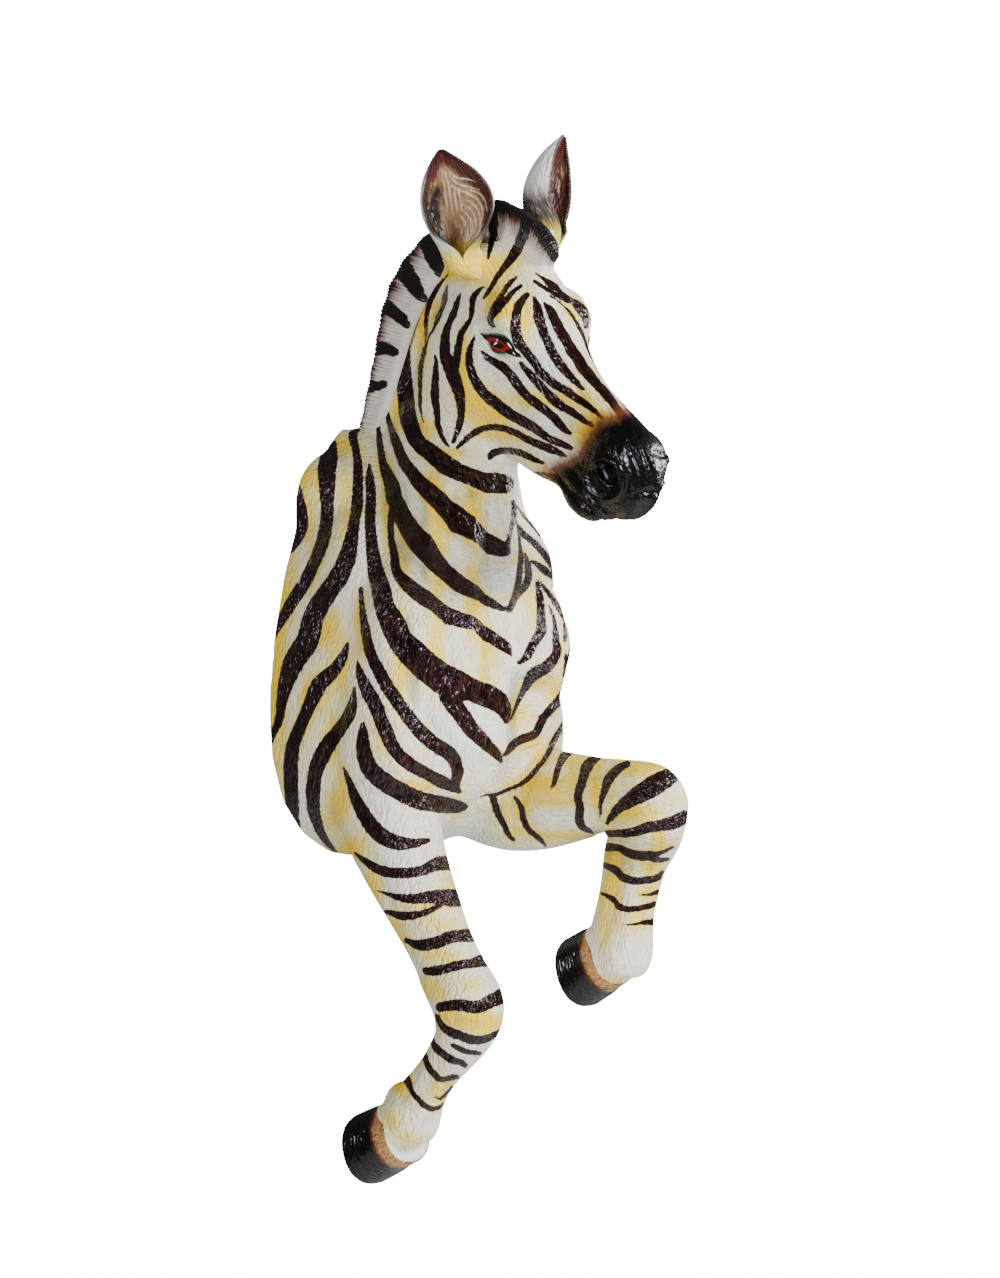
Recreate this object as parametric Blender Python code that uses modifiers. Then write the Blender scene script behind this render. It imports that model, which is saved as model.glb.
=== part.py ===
"""Zebra wall sculpture: the front half of a zebra leaping out of the wall, one hollow resin casting.

Metres, +Z up. The wall is the plane Y = 0, and the casting is cut flat there. The zebra faces -Y, so
"out" below is the distance in front of the wall, and its right side is -X. The origin lies in the flat
back, where the sculpture hangs.
"""

import math

import bmesh
import bpy
from mathutils import Matrix, Vector

# Driving sizes
FIGURE_HEIGHT = 1.51  # from the toe of the lower hoof to the tip of the ears
EAR_WALL = 0.008  # thickness of the cast ears
SKIN_TRIANGLES = 6600  # about as many triangles as the blended skin keeps
SMOOTHING = 0.5
SMOOTHING_ROUNDS = 14

# The pose and the proportions are given in parts of the figure's height, 151 to the height, so that
# one part is a centimetre at the real size. Sections are superellipses: SQUARE is their exponent.
PART = FIGURE_HEIGHT / 151
CLAY_GRAIN = 0.65 * PART  # size of the cells that the modelled masses are blended in
RIM_GRAIN = 0.05 * PART  # points of an ear's rim that lie closer than this are made one
SQUARE = 2.2
MANE_SQUARE = 3.0
# How much wider a section's lower or front end is than its middle, as a share
TRUNK_EGG = 0.34
NECK_EGG = 0.22
MANE_EGG = 0.25
RIGHT = -1
LEFT = 1
ACROSS = Vector((1, 0, 0))
RING_POINTS = 24

# The head hangs from the poll, between the ears: its own axes run along the face towards the nose,
# above the face, and aside towards the zebra's right cheek.
POLL = (0.5, 30.0, 59.5)
HEAD_YAW = 3.0
HEAD_PITCH = 45.0
HEAD_ROLL = -8.0

# Trunk from inside the wall to the breast: out, top, bottom, half width. What lies inside the wall is
# cut away.
TRUNK = (
    (-6, 35.0, -31.4, 17.6),
    (0, 34.6, -31.4, 17.6),
    (7, 31.4, -30.6, 18.2),
    (14, 26.4, -28.4, 18.0),
    (21, 20.5, -25.2, 16.8),
    (26.5, 14.0, -20.5, 14.4),
    (30, 7.0, -14.0, 10.0),
)

# Neck from the breast to the poll: side, out and up of its middle, half depth, half width, lean of the
# section in degrees
NECK = (
    (0, 16.2, -8.0, 14.5, 14.5, 0),
    (0, 15.8, 2.0, 15.2, 14.8, 0),
    (0, 15.6, 12.0, 15.3, 13.2, 0),
    (0.3, 15.8, 21.0, 13.9, 9.6, 4),
    (1.6, 16.7, 29.0, 12.2, 6.7, 14),
    (2.8, 19.0, 37.0, 10.8, 5.0, 28),
    (2.0, 22.0, 44.5, 9.4, 4.8, 42),
    (1.1, 26.0, 50.5, 8.2, 5.2, 60),
    (0.5, 30.5, 54.5, 6.3, 5.2, 75),
)

# Mane, a thin crest: out and up of its root in the neck, out and up of the hair's tips, half thickness
MANE = (
    (4.0, 29.0, -0.4, 30.0, 2.2),
    (8.0, 35.0, 1.5, 36.5, 2.2),
    (11.0, 41.5, 3.4, 43.5, 2.1),
    (14.2, 48.0, 5.4, 50.8, 2.0),
    (19.0, 53.5, 9.2, 56.5, 2.0),
    (25.0, 57.0, 17.0, 61.6, 2.0),
    (31.0, 57.0, 27.0, 64.2, 2.0),
    (35.2, 55.6, 34.0, 62.0, 1.9),
    (37.4, 54.2, 38.6, 58.8, 1.6),
    (38.8, 53.2, 41.5, 55.4, 1.1),
)

# Skull and muzzle, in head axes: along, top, bottom, half width
SKULL = (
    (-3.6, -1.0, -12.0, 4.4),
    (1.5, 0.8, -21.5, 5.9),
    (6.5, 1.5, -26.8, 6.9),
    (12.0, 1.4, -28.8, 7.3),
    (17.5, -0.2, -27.0, 6.9),
    (23.5, -2.1, -23.4, 5.5),
    (29.5, -2.6, -20.0, 4.3),
    (35.0, -2.0, -17.8, 4.2),
    (40.5, -1.7, -17.0, 4.4),
    (45.0, -3.3, -14.4, 3.0),
    (47.6, -6.6, -12.0, 2.4),
)

# Masses laid on both sides of the head: along, above, aside, radii the same way, and a turn in degrees
# about the head's side axis
HEAD_MASSES = {
    "cheek": ((9.2, -17.6, 5.2), (10.0, 11.0, 3.9), -16),
    "jaw_angle": ((9.0, -24.0, 5.6), (6.8, 6.2, 3.4), 20),
    "mandible": ((26.0, -17.4, 2.6), (12.5, 3.9, 2.3), 19),
    "orbit": ((15.6, -6.8, 4.0), (5.0, 4.2, 3.2), -14),
    "brow": ((13.2, -3.9, 6.0), (4.2, 2.5, 2.2), -12),
    "facial_crest": ((23.5, -11.2, 4.2), (9.0, 2.2, 1.6), -10),
    "nostril": ((41.2, -6.9, 2.9), (4.3, 3.8, 2.7), -35),
    "upper_lip": ((43.4, -8.6, 1.2), (3.2, 3.6, 2.2), -20),
    "lower_lip": ((38.8, -15.6, 1.9), (5.2, 3.0, 2.8), 12),
    "temple": ((4.6, -4.8, 4.5), (4.2, 4.0, 2.2), 0),
}
# Hollows cut into both sides of the head, and the eyeballs let in, measured the same way
NOSTRIL_HOLLOW = ((42.2, -7.3, 5.7), (2.7, 2.1, 1.9), -35)
EYEBALL = ((15.0, -7.0, 6.4), (2.4, 1.9, 1.5), 0)

# Masses laid on the body: side, out, up, radii the same way, and a lean in degrees about the side axis
BODY_MASSES = {
    "shoulder_blade": ((10.4, 12.0, 5.0), (6.8, 9.6, 15.5), 12),
    "point_of_shoulder": ((11.6, 21.4, 0.0), (6.4, 8.4, 12.5), 0),
    "neck_root": ((7.2, 23.4, 10.5), (6.0, 7.4, 9.4), 0),
    "breast_muscle": ((6.6, 24.6, -3.0), (6.6, 6.4, 13.5), -4),
    "upper_arm": ((12.4, 18.6, -12.0), (7.0, 9.6, 12.0), 0),
    "withers": ((6.1, -1.0, 20.6), (7.6, 12.0, 8.7), 0),
}

# Forelegs from the elbow down: out and up of the middle, half depth, half width
LEG_SIDE = 11.0
RIGHT_FORELEG = (
    (16.0, -19.0, 8.6, 6.8),
    (19.0, -26.5, 7.4, 6.2),
    (21.8, -31.8, 6.2, 5.6),
    (25.0, -36.8, 5.5, 5.0),
    (28.4, -42.0, 4.9, 4.5),
    (31.5, -46.4, 5.0, 4.6),
    (34.2, -50.0, 5.2, 4.8),
    (33.3, -53.4, 4.4, 4.1),
    (30.9, -56.4, 3.7, 3.4),
    (27.3, -60.2, 3.2, 3.0),
    (24.6, -63.4, 3.6, 3.3),
    (22.6, -66.4, 4.4, 4.1),
    (21.2, -69.0, 4.0, 3.8),
)
LEFT_FORELEG = (
    (14.0, -20.0, 8.6, 6.6),
    (20.0, -21.8, 8.2, 6.3),
    (27.0, -22.0, 7.6, 5.9),
    (33.0, -21.6, 6.6, 5.4),
    (39.0, -21.2, 5.6, 4.9),
    (44.5, -21.0, 5.3, 4.8),
    (48.4, -21.6, 5.3, 4.9),
    (48.0, -25.4, 5.2, 4.7),
    (45.6, -29.4, 4.9, 4.3),
    (44.6, -33.0, 4.5, 3.9),
    (43.6, -36.8, 4.4, 3.8),
    (42.9, -40.2, 4.7, 4.1),
    (42.4, -43.6, 4.9, 4.5),
    (41.6, -46.0, 4.0, 3.9),
)

# The pad behind each fetlock: side, out, up, radius
ERGOTS = ((RIGHT, 20.6, -64.4, 3.0), (LEFT, 40.2, -39.6, 2.8))

# Hooves: out and up of the coronet's middle and of the sole's middle
HOOVES = {
    "right": (RIGHT, (19.1, -69.6), (13.2, -71.3)),
    "left": (LEFT, (39.2, -44.4), (34.4, -45.9)),
}
CORONET_RADIUS = 4.8 * PART
SOLE_RADIUS = 5.2 * PART
TOE_REACH = 0.9 * PART
# Share of the way to the sole, and how much the wall swells there
HOOF_SECTIONS = ((-0.45, 0.9), (0.0, 1.0), (0.25, 1.03), (0.5, 1.02), (0.75, 1.01), (0.93, 1.0), (1.0, 0.97))

# Ears: share of the length, half width, half depth, shift towards the other ear
EAR_SECTIONS = (
    (-0.06, 2.3, 2.3, 0.0),
    (0.06, 2.6, 2.7, 0.1),
    (0.16, 3.2, 3.2, 0.3),
    (0.28, 4.2, 3.7, 0.6),
    (0.44, 5.2, 4.0, 0.9),
    (0.60, 5.1, 3.4, 0.9),
    (0.76, 4.0, 2.3, 0.6),
    (0.90, 2.1, 1.2, 0.2),
    (1.00, 0.5, 0.6, 0.0),
)
EAR_NOTCH = 0.06  # share of the length at the bottom of the opening, which widens over the next share
EAR_NOTCH_LENGTH = 0.34
# In head axes: the root, the tip, and the way the cup opens
EARS = {
    "right": ((2.6, -3.2, 8.0), (-7.7, 8.9, 11.0), (0.60, 0.62, 0.52)),
    "left": ((3.4, -0.6, -5.0), (-9.6, 9.7, -11.8), (0.57, 0.57, -0.60)),
}


def clear_scene():
    for thing in list(bpy.data.objects):
        bpy.data.objects.remove(thing)


def collection(name, rendered=True):
    made = bpy.data.collections.new(name)
    made.hide_render = not rendered
    bpy.context.scene.collection.children.link(made)
    return made


def body_point(side, out, up):
    """A point given in parts from the wall, in metres."""
    return Vector((side, -out, up)) * PART


def head_axes():
    """The head's own axes in the world: along the face, above it, and aside to the right."""
    yaw, pitch, roll = (math.radians(a) for a in (HEAD_YAW, HEAD_PITCH, HEAD_ROLL))
    ahead = Vector((-math.sin(yaw), -math.cos(yaw), 0))
    aside = Vector((-math.cos(yaw), math.sin(yaw), 0))
    along = ahead * math.cos(pitch) - Vector((0, 0, math.sin(pitch)))
    above = ahead * math.sin(pitch) + Vector((0, 0, math.cos(pitch)))
    rolled_aside = aside * math.cos(roll) + above * math.sin(roll)
    rolled_above = above * math.cos(roll) - aside * math.sin(roll)
    return along, rolled_above, rolled_aside


def head_matrix():
    along, above, aside = head_axes()
    matrix = Matrix((along, above, aside)).transposed().to_4x4()
    matrix.translation = body_point(*POLL)
    return matrix


def through(stations, steps=4):
    """The stations with smooth ones between them, on a Catmull-Rom curve."""

    def between(a, b, c, d, t):
        bend = 2 * a - 5 * b + 4 * c - d
        twist = 3 * b - a - 3 * c + d
        return 0.5 * (2 * b + (c - a) * t + bend * t**2 + twist * t**3)

    padded = [stations[0], *stations, stations[-1]]
    smooth = []
    for before, start, end, after in zip(padded, padded[1:], padded[2:], padded[3:]):
        for step in range(steps):
            t = step / steps
            smooth.append(tuple(between(*values, t) for values in zip(before, start, end, after)))
    smooth.append(tuple(stations[-1]))
    return smooth


def oval(middle, across, upward, half_width, half_depth, egg=0.0, square=SQUARE):
    """A ring of points. A positive egg widens the end that points against upward."""
    ring = []
    for step in range(RING_POINTS):
        angle = 2 * math.pi * step / RING_POINTS
        c, s = math.cos(angle), math.sin(angle)
        wide = math.copysign(abs(c) ** (2 / square), c)
        tall = math.copysign(abs(s) ** (2 / square), s)
        ring.append(middle + across * (wide * half_width * (1 - egg * s)) + upward * (tall * half_depth))
    return ring


def loft(clay, rings):
    """Skins unlike rings of one point count into a closed body, with its faces pointing out."""
    verts = [[clay.verts.new(point) for point in ring] for ring in rings]
    faces = []
    for lower, upper in zip(verts, verts[1:]):
        for i in range(len(lower)):
            j = (i + 1) % len(lower)
            faces.append(clay.faces.new((lower[i], lower[j], upper[j], upper[i])))
    faces.append(clay.faces.new(verts[0][::-1]))
    faces.append(clay.faces.new(verts[-1]))
    bmesh.ops.recalc_face_normals(clay, faces=faces)


def lump(clay, middle, radii, axes, turn=0.0):
    """An ellipsoid of clay, turned in degrees about the third of its axes."""
    frame = Matrix(axes).transposed().to_4x4()
    frame.translation = middle
    shape = frame @ Matrix.Rotation(math.radians(turn), 4, "Z") @ Matrix.Diagonal((*radii, 1))
    bmesh.ops.create_uvsphere(clay, u_segments=20, v_segments=12, radius=1.0, matrix=shape)


def add_trunk(clay):
    rings = []
    for out, top, bottom, half_width in through(TRUNK):
        middle = body_point(0, out, (top + bottom) / 2)
        half_height = (top - bottom) / 2 * PART
        rings.append(oval(middle, ACROSS, Vector((0, 0, 1)), half_width * PART, half_height, TRUNK_EGG))
    loft(clay, rings)


def add_neck(clay):
    rings = []
    for side, out, up, half_depth, half_width, lean in through(NECK):
        lean = math.radians(lean)
        to_crest = Vector((0, math.cos(lean), math.sin(lean)))
        middle = body_point(side, out, up)
        rings.append(oval(middle, ACROSS, to_crest, half_width * PART, half_depth * PART, NECK_EGG))
    loft(clay, rings)


def add_mane(clay):
    rings = []
    for root_out, root_up, tip_out, tip_up, half_thick in through(MANE):
        root, tip = body_point(0, root_out, root_up), body_point(0, tip_out, tip_up)
        hair = tip - root
        middle = (root + tip) / 2
        upward, half_length = hair.normalized(), hair.length / 2
        rings.append(oval(middle, ACROSS, upward, half_thick * PART, half_length, MANE_EGG, MANE_SQUARE))
    loft(clay, rings)


def add_head(clay):
    matrix = head_matrix()
    along, above, aside = head_axes()
    rings = []
    for station, top, bottom, half_width in through(SKULL):
        middle = matrix @ (Vector((station, (top + bottom) / 2, 0)) * PART)
        rings.append(oval(middle, aside, above, half_width * PART, (top - bottom) / 2 * PART))
    loft(clay, rings)
    for (station, height, reach), radii, turn in HEAD_MASSES.values():
        for side in (RIGHT, LEFT):
            middle = matrix @ (Vector((station, height, -side * reach)) * PART)
            lump(clay, middle, Vector(radii) * PART, (along, above, aside), turn)


def add_body_masses(clay):
    axes = (Vector((0, -1, 0)), Vector((0, 0, 1)), Vector((-1, 0, 0)))
    for (reach, out, up), (wide, deep, tall), lean in BODY_MASSES.values():
        for side in (RIGHT, LEFT):
            lump(clay, body_point(side * reach, out, up), Vector((deep, tall, wide)) * PART, axes, lean)
    for side, out, up, radius in ERGOTS:
        lump(clay, body_point(side * LEG_SIDE, out, up), Vector((radius, radius, radius * 0.8)) * PART, axes)


def add_foreleg(clay, side, stations):
    smooth = through(stations)
    path = [body_point(side * LEG_SIDE, out, up) for out, up, _, _ in smooth]
    rings = []
    for i, (_, _, half_depth, half_width) in enumerate(smooth):
        heading = (path[min(i + 1, len(path) - 1)] - path[max(i - 1, 0)]).normalized()
        front = heading.cross(ACROSS).normalized()
        rings.append(oval(path[i], ACROSS, front, half_width * PART, half_depth * PART))
    loft(clay, rings)


def new_object(name, clay, home):
    mesh = bpy.data.meshes.new(name)
    clay.to_mesh(mesh)
    clay.free()
    made = bpy.data.objects.new(name, mesh)
    home.objects.link(made)
    return made


def helper(name, clay, home):
    """A hidden body that a Boolean joins or cuts with."""
    made = new_object(name, clay, home)
    made.hide_render = True
    made.display_type = "WIRE"
    return made


def hoof(name, side, coronet, sole, home):
    """A hoof folded back under the fetlock, from the coronet to the flat sole, longer at the toe."""
    start = body_point(side * LEG_SIDE, *coronet)
    end = body_point(side * LEG_SIDE, *sole)
    axis = (end - start).normalized()
    toe = axis.cross(ACROSS).normalized()
    clay = bmesh.new()
    rings = []
    for share, swell in HOOF_SECTIONS:
        radius = (CORONET_RADIUS + (SOLE_RADIUS - CORONET_RADIUS) * max(share, 0)) * swell
        middle = start.lerp(end, share) + toe * (TOE_REACH * max(share, 0))
        rings.append(oval(middle, ACROSS, toe, radius, radius))
    loft(clay, rings)
    return helper(name, clay, home)


def ear(name, root, tip, opening, home):
    """A cupped leaf: a long closed bud with its opening side hollowed out."""
    matrix = head_matrix()
    side = math.copysign(1, root[2])
    root = matrix @ (Vector(root) * PART)
    length = matrix @ (Vector(tip) * PART) - root
    axis = length.normalized()
    opening = matrix.to_3x3() @ Vector(opening)
    opening = (opening - axis * opening.dot(axis)).normalized()
    across = axis.cross(opening)
    bud, hollow = [], []
    for share, half_width, half_depth, shift in through(EAR_SECTIONS, 2):
        middle = root + length * share + across * (side * shift * PART)
        wide, deep = half_width * PART, half_depth * PART
        bud.append(oval(middle, across, opening, wide, deep, square=2))
        if share < EAR_NOTCH or wide < EAR_WALL * 1.4:
            continue
        open_share = min(1, 0.12 + (share - EAR_NOTCH) / EAR_NOTCH_LENGTH) ** 0.6
        back = (deep - EAR_WALL) * (2 * open_share - 1)
        front = deep * 1.5
        middle = middle + opening * ((front - back) / 2)
        reach = (front + back) / 2
        hollow.append(oval(middle, across, opening, (wide - EAR_WALL) * open_share, reach, square=2))
    clay = bmesh.new()
    loft(clay, bud)
    made = helper(name, clay, home)
    clay = bmesh.new()
    loft(clay, hollow)
    joined(made, "hollow", helper(name + "_hollow", clay, home), "DIFFERENCE")
    made.modifiers.new("clean rim", "WELD").merge_threshold = RIM_GRAIN
    return made


def head_detail(name, place, radii, turn, side, home):
    """An ellipsoid on one side of the head, as a helper."""
    station, height, reach = place
    middle = head_matrix() @ (Vector((station, height, -side * reach)) * PART)
    clay = bmesh.new()
    lump(clay, middle, Vector(radii) * PART, head_axes(), turn)
    return helper(name, clay, home)


def wall_cutter(home):
    """Everything behind the wall's face."""
    side = 2 * FIGURE_HEIGHT
    clay = bmesh.new()
    bmesh.ops.create_cube(clay, size=side, matrix=Matrix.Translation((0, side / 2, 0)))
    return helper("wall_cutter", clay, home)


def joined(target, name, other, operation):
    boolean = target.modifiers.new(name, "BOOLEAN")
    boolean.operation = operation
    boolean.solver = "EXACT"
    boolean.object = other
    return boolean


def paint():
    material = bpy.data.materials.new("painted_resin")
    material.use_nodes = True
    shader = material.node_tree.nodes["Principled BSDF"]
    shader.inputs["Base Color"].default_value = (0.86, 0.82, 0.68, 1)
    shader.inputs["Roughness"].default_value = 0.42
    shader.inputs["Metallic"].default_value = 0.0
    return material


def build():
    clear_scene()
    sculpture = collection("zebra_wall_sculpture")
    helpers = collection("helpers", rendered=False)

    clay = bmesh.new()
    add_trunk(clay)
    add_neck(clay)
    add_mane(clay)
    add_head(clay)
    add_body_masses(clay)
    add_foreleg(clay, RIGHT, RIGHT_FORELEG)
    add_foreleg(clay, LEFT, LEFT_FORELEG)
    zebra = new_object("zebra_casting", clay, sculpture)
    zebra.data.materials.append(paint())

    blend = zebra.modifiers.new("blend the masses", "REMESH")
    blend.mode = "VOXEL"
    blend.voxel_size = CLAY_GRAIN
    smooth = zebra.modifiers.new("smooth the joins", "SMOOTH")
    smooth.factor = SMOOTHING
    smooth.iterations = SMOOTHING_ROUNDS
    bpy.context.view_layer.update()
    blended = zebra.evaluated_get(bpy.context.evaluated_depsgraph_get()).data
    blended.calc_loop_triangles()
    thin = zebra.modifiers.new("keep few triangles", "DECIMATE")
    thin.ratio = min(1.0, SKIN_TRIANGLES / len(blended.loop_triangles))

    for name, side in (("right", RIGHT), ("left", LEFT)):
        eyeball = head_detail(name + "_eyeball", *EYEBALL, side, helpers)
        joined(zebra, name + " eyeball", eyeball, "UNION")
        hollow = head_detail(name + "_nostril", *NOSTRIL_HOLLOW, side, helpers)
        joined(zebra, name + " nostril", hollow, "DIFFERENCE")
    for name, (side, coronet, sole) in HOOVES.items():
        joined(zebra, name + " hoof", hoof(name + "_hoof", side, coronet, sole, helpers), "UNION")
    for name, (root, tip, opening) in EARS.items():
        joined(zebra, name + " ear", ear(name + "_ear", root, tip, opening, helpers), "UNION")
    joined(zebra, "flat back", wall_cutter(helpers), "DIFFERENCE")


build()
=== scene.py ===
import math

import bmesh
import bpy
import numpy as np
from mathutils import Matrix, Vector
from mathutils.bvhtree import BVHTree


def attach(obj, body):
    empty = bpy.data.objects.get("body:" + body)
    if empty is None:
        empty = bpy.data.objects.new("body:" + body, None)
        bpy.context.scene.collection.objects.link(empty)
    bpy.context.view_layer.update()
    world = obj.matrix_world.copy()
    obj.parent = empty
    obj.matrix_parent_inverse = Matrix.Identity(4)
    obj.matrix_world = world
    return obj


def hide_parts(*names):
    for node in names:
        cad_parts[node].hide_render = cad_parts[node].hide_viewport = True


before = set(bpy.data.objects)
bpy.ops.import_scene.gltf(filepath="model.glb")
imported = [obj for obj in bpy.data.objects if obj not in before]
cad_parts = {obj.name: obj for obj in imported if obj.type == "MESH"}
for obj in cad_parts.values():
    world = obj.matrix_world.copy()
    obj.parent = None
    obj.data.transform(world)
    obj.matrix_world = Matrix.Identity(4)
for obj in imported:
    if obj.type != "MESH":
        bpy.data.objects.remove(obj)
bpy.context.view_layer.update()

# ======== Camera, floor and studio light ========
# The photograph looks at the sculpture from its right front, level with it, from about 4.7 m away. Soft
# boxes and a white surround light it, over a pale floor that it doesn't touch.
VIEW_TURN = math.radians(-45)
CAMERA_ASIDE, CAMERA_UP, CAMERA_AWAY = 0.207, 0.013, 4.71
LOOK = Vector((-math.sin(VIEW_TURN), math.cos(VIEW_TURN), 0))
ASIDE = Vector((math.cos(VIEW_TURN), math.sin(VIEW_TURN), 0))
EYE_POINT = ASIDE * CAMERA_ASIDE + Vector((0, 0, CAMERA_UP)) - LOOK * CAMERA_AWAY
FOCAL_PX = 3150.0
PHOTO_WIDE, PHOTO_TALL = 1000, 1278
SENSOR_MM = 36.0
AIR_LIGHT, PAPER_LIGHT = 0.12, 16.0
FLOOR_RADIUS, FLOOR_PLACE = 3.0, (0, -0.6, -2.0)
LAMPS_AIM = Vector((0, -0.3, 0.1))

lens = bpy.data.cameras.new("studio_camera")
lens.sensor_width = SENSOR_MM
lens.lens = SENSOR_MM * FOCAL_PX / PHOTO_TALL
studio_camera = bpy.data.objects.new("studio_camera", lens)
bpy.context.scene.collection.objects.link(studio_camera)
studio_camera.location = EYE_POINT
studio_camera.rotation_euler = LOOK.to_track_quat("-Z", "Y").to_euler()
bpy.context.scene.camera = studio_camera

world = bpy.data.worlds.new("studio_air")
bpy.context.scene.world = world
world.use_nodes = True
# What the camera sees behind the sculpture is a paper-white studio, brighter than the air that lights it
nodes, links = world.node_tree.nodes, world.node_tree.links
air, paper = nodes["Background"], nodes.new("ShaderNodeBackground")
for background, strength in ((air, AIR_LIGHT), (paper, PAPER_LIGHT)):
    background.inputs["Color"].default_value = (1.0, 1.0, 1.0, 1)
    background.inputs["Strength"].default_value = strength
seen = nodes.new("ShaderNodeLightPath")
choice = nodes.new("ShaderNodeMixShader")
links.new(seen.outputs["Is Camera Ray"], choice.inputs[0])
links.new(air.outputs[0], choice.inputs[1])
links.new(paper.outputs[0], choice.inputs[2])
links.new(choice.outputs[0], nodes["World Output"].inputs["Surface"])

floor_mesh = bpy.data.meshes.new("studio_floor")
floor_clay = bmesh.new()
bmesh.ops.create_circle(floor_clay, cap_ends=True, segments=96, radius=FLOOR_RADIUS)
floor_clay.to_mesh(floor_mesh)
floor_clay.free()
studio_floor = bpy.data.objects.new("studio_floor", floor_mesh)
studio_floor.location = FLOOR_PLACE
bpy.context.scene.collection.objects.link(studio_floor)
floor_paint = bpy.data.materials.new("pale_floor")
floor_paint.use_nodes = True
floor_shader = floor_paint.node_tree.nodes["Principled BSDF"]
floor_shader.inputs["Base Color"].default_value = (0.9, 0.9, 0.9, 1)
floor_shader.inputs["Roughness"].default_value = 0.9
floor_mesh.materials.append(floor_paint)

# Soft boxes: name, place, power in watts, width in metres
for box_name, place, power, wide in (
    ("key_box", (0.7, -3.6, 1.5), 200, 0.9),
    ("fill_box", (-3.9, -0.9, 1.0), 105, 1.0),
    ("low_box", (-0.9, -3.6, -1.3), 90, 1.2),
    ("far_box", (2.9, -1.0, 0.9), 70, 1.0),
):
    lamp = bpy.data.lights.new(box_name, "AREA")
    lamp.energy = power
    lamp.size = wide
    box_light = bpy.data.objects.new(box_name, lamp)
    box_light.location = place
    box_light.rotation_euler = (LAMPS_AIM - Vector(place)).to_track_quat("-Z", "Y").to_euler()
    box_light.visible_glossy = box_name != "low_box"  # the low box leaves no reflection on the gloss
    bpy.context.scene.collection.objects.link(box_light)

# ======== The casting's coat: head, neck, trunk and forelegs ========
# One hollow resin casting of the front half of a zebra, carved all over with short hair strokes and
# painted by hand: cream coat with yellow airbrushing, very dark red-brown glossy stripes, black muzzle.
# The casting is one piece; its skin is kept here as four meshes that meet vertex on vertex.
PART = 0.01
POLL = np.array((0.005, -0.300, 0.595))
FACE_ALONG = np.array((-0.037, -0.706, -0.707))
FACE_ABOVE = np.array((-0.176, -0.692, 0.700))
FACE_ASIDE = np.array((-0.984, 0.150, -0.098))
SKIN_GRAIN = 0.0031
SKIN_ROUNDS = 34

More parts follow.
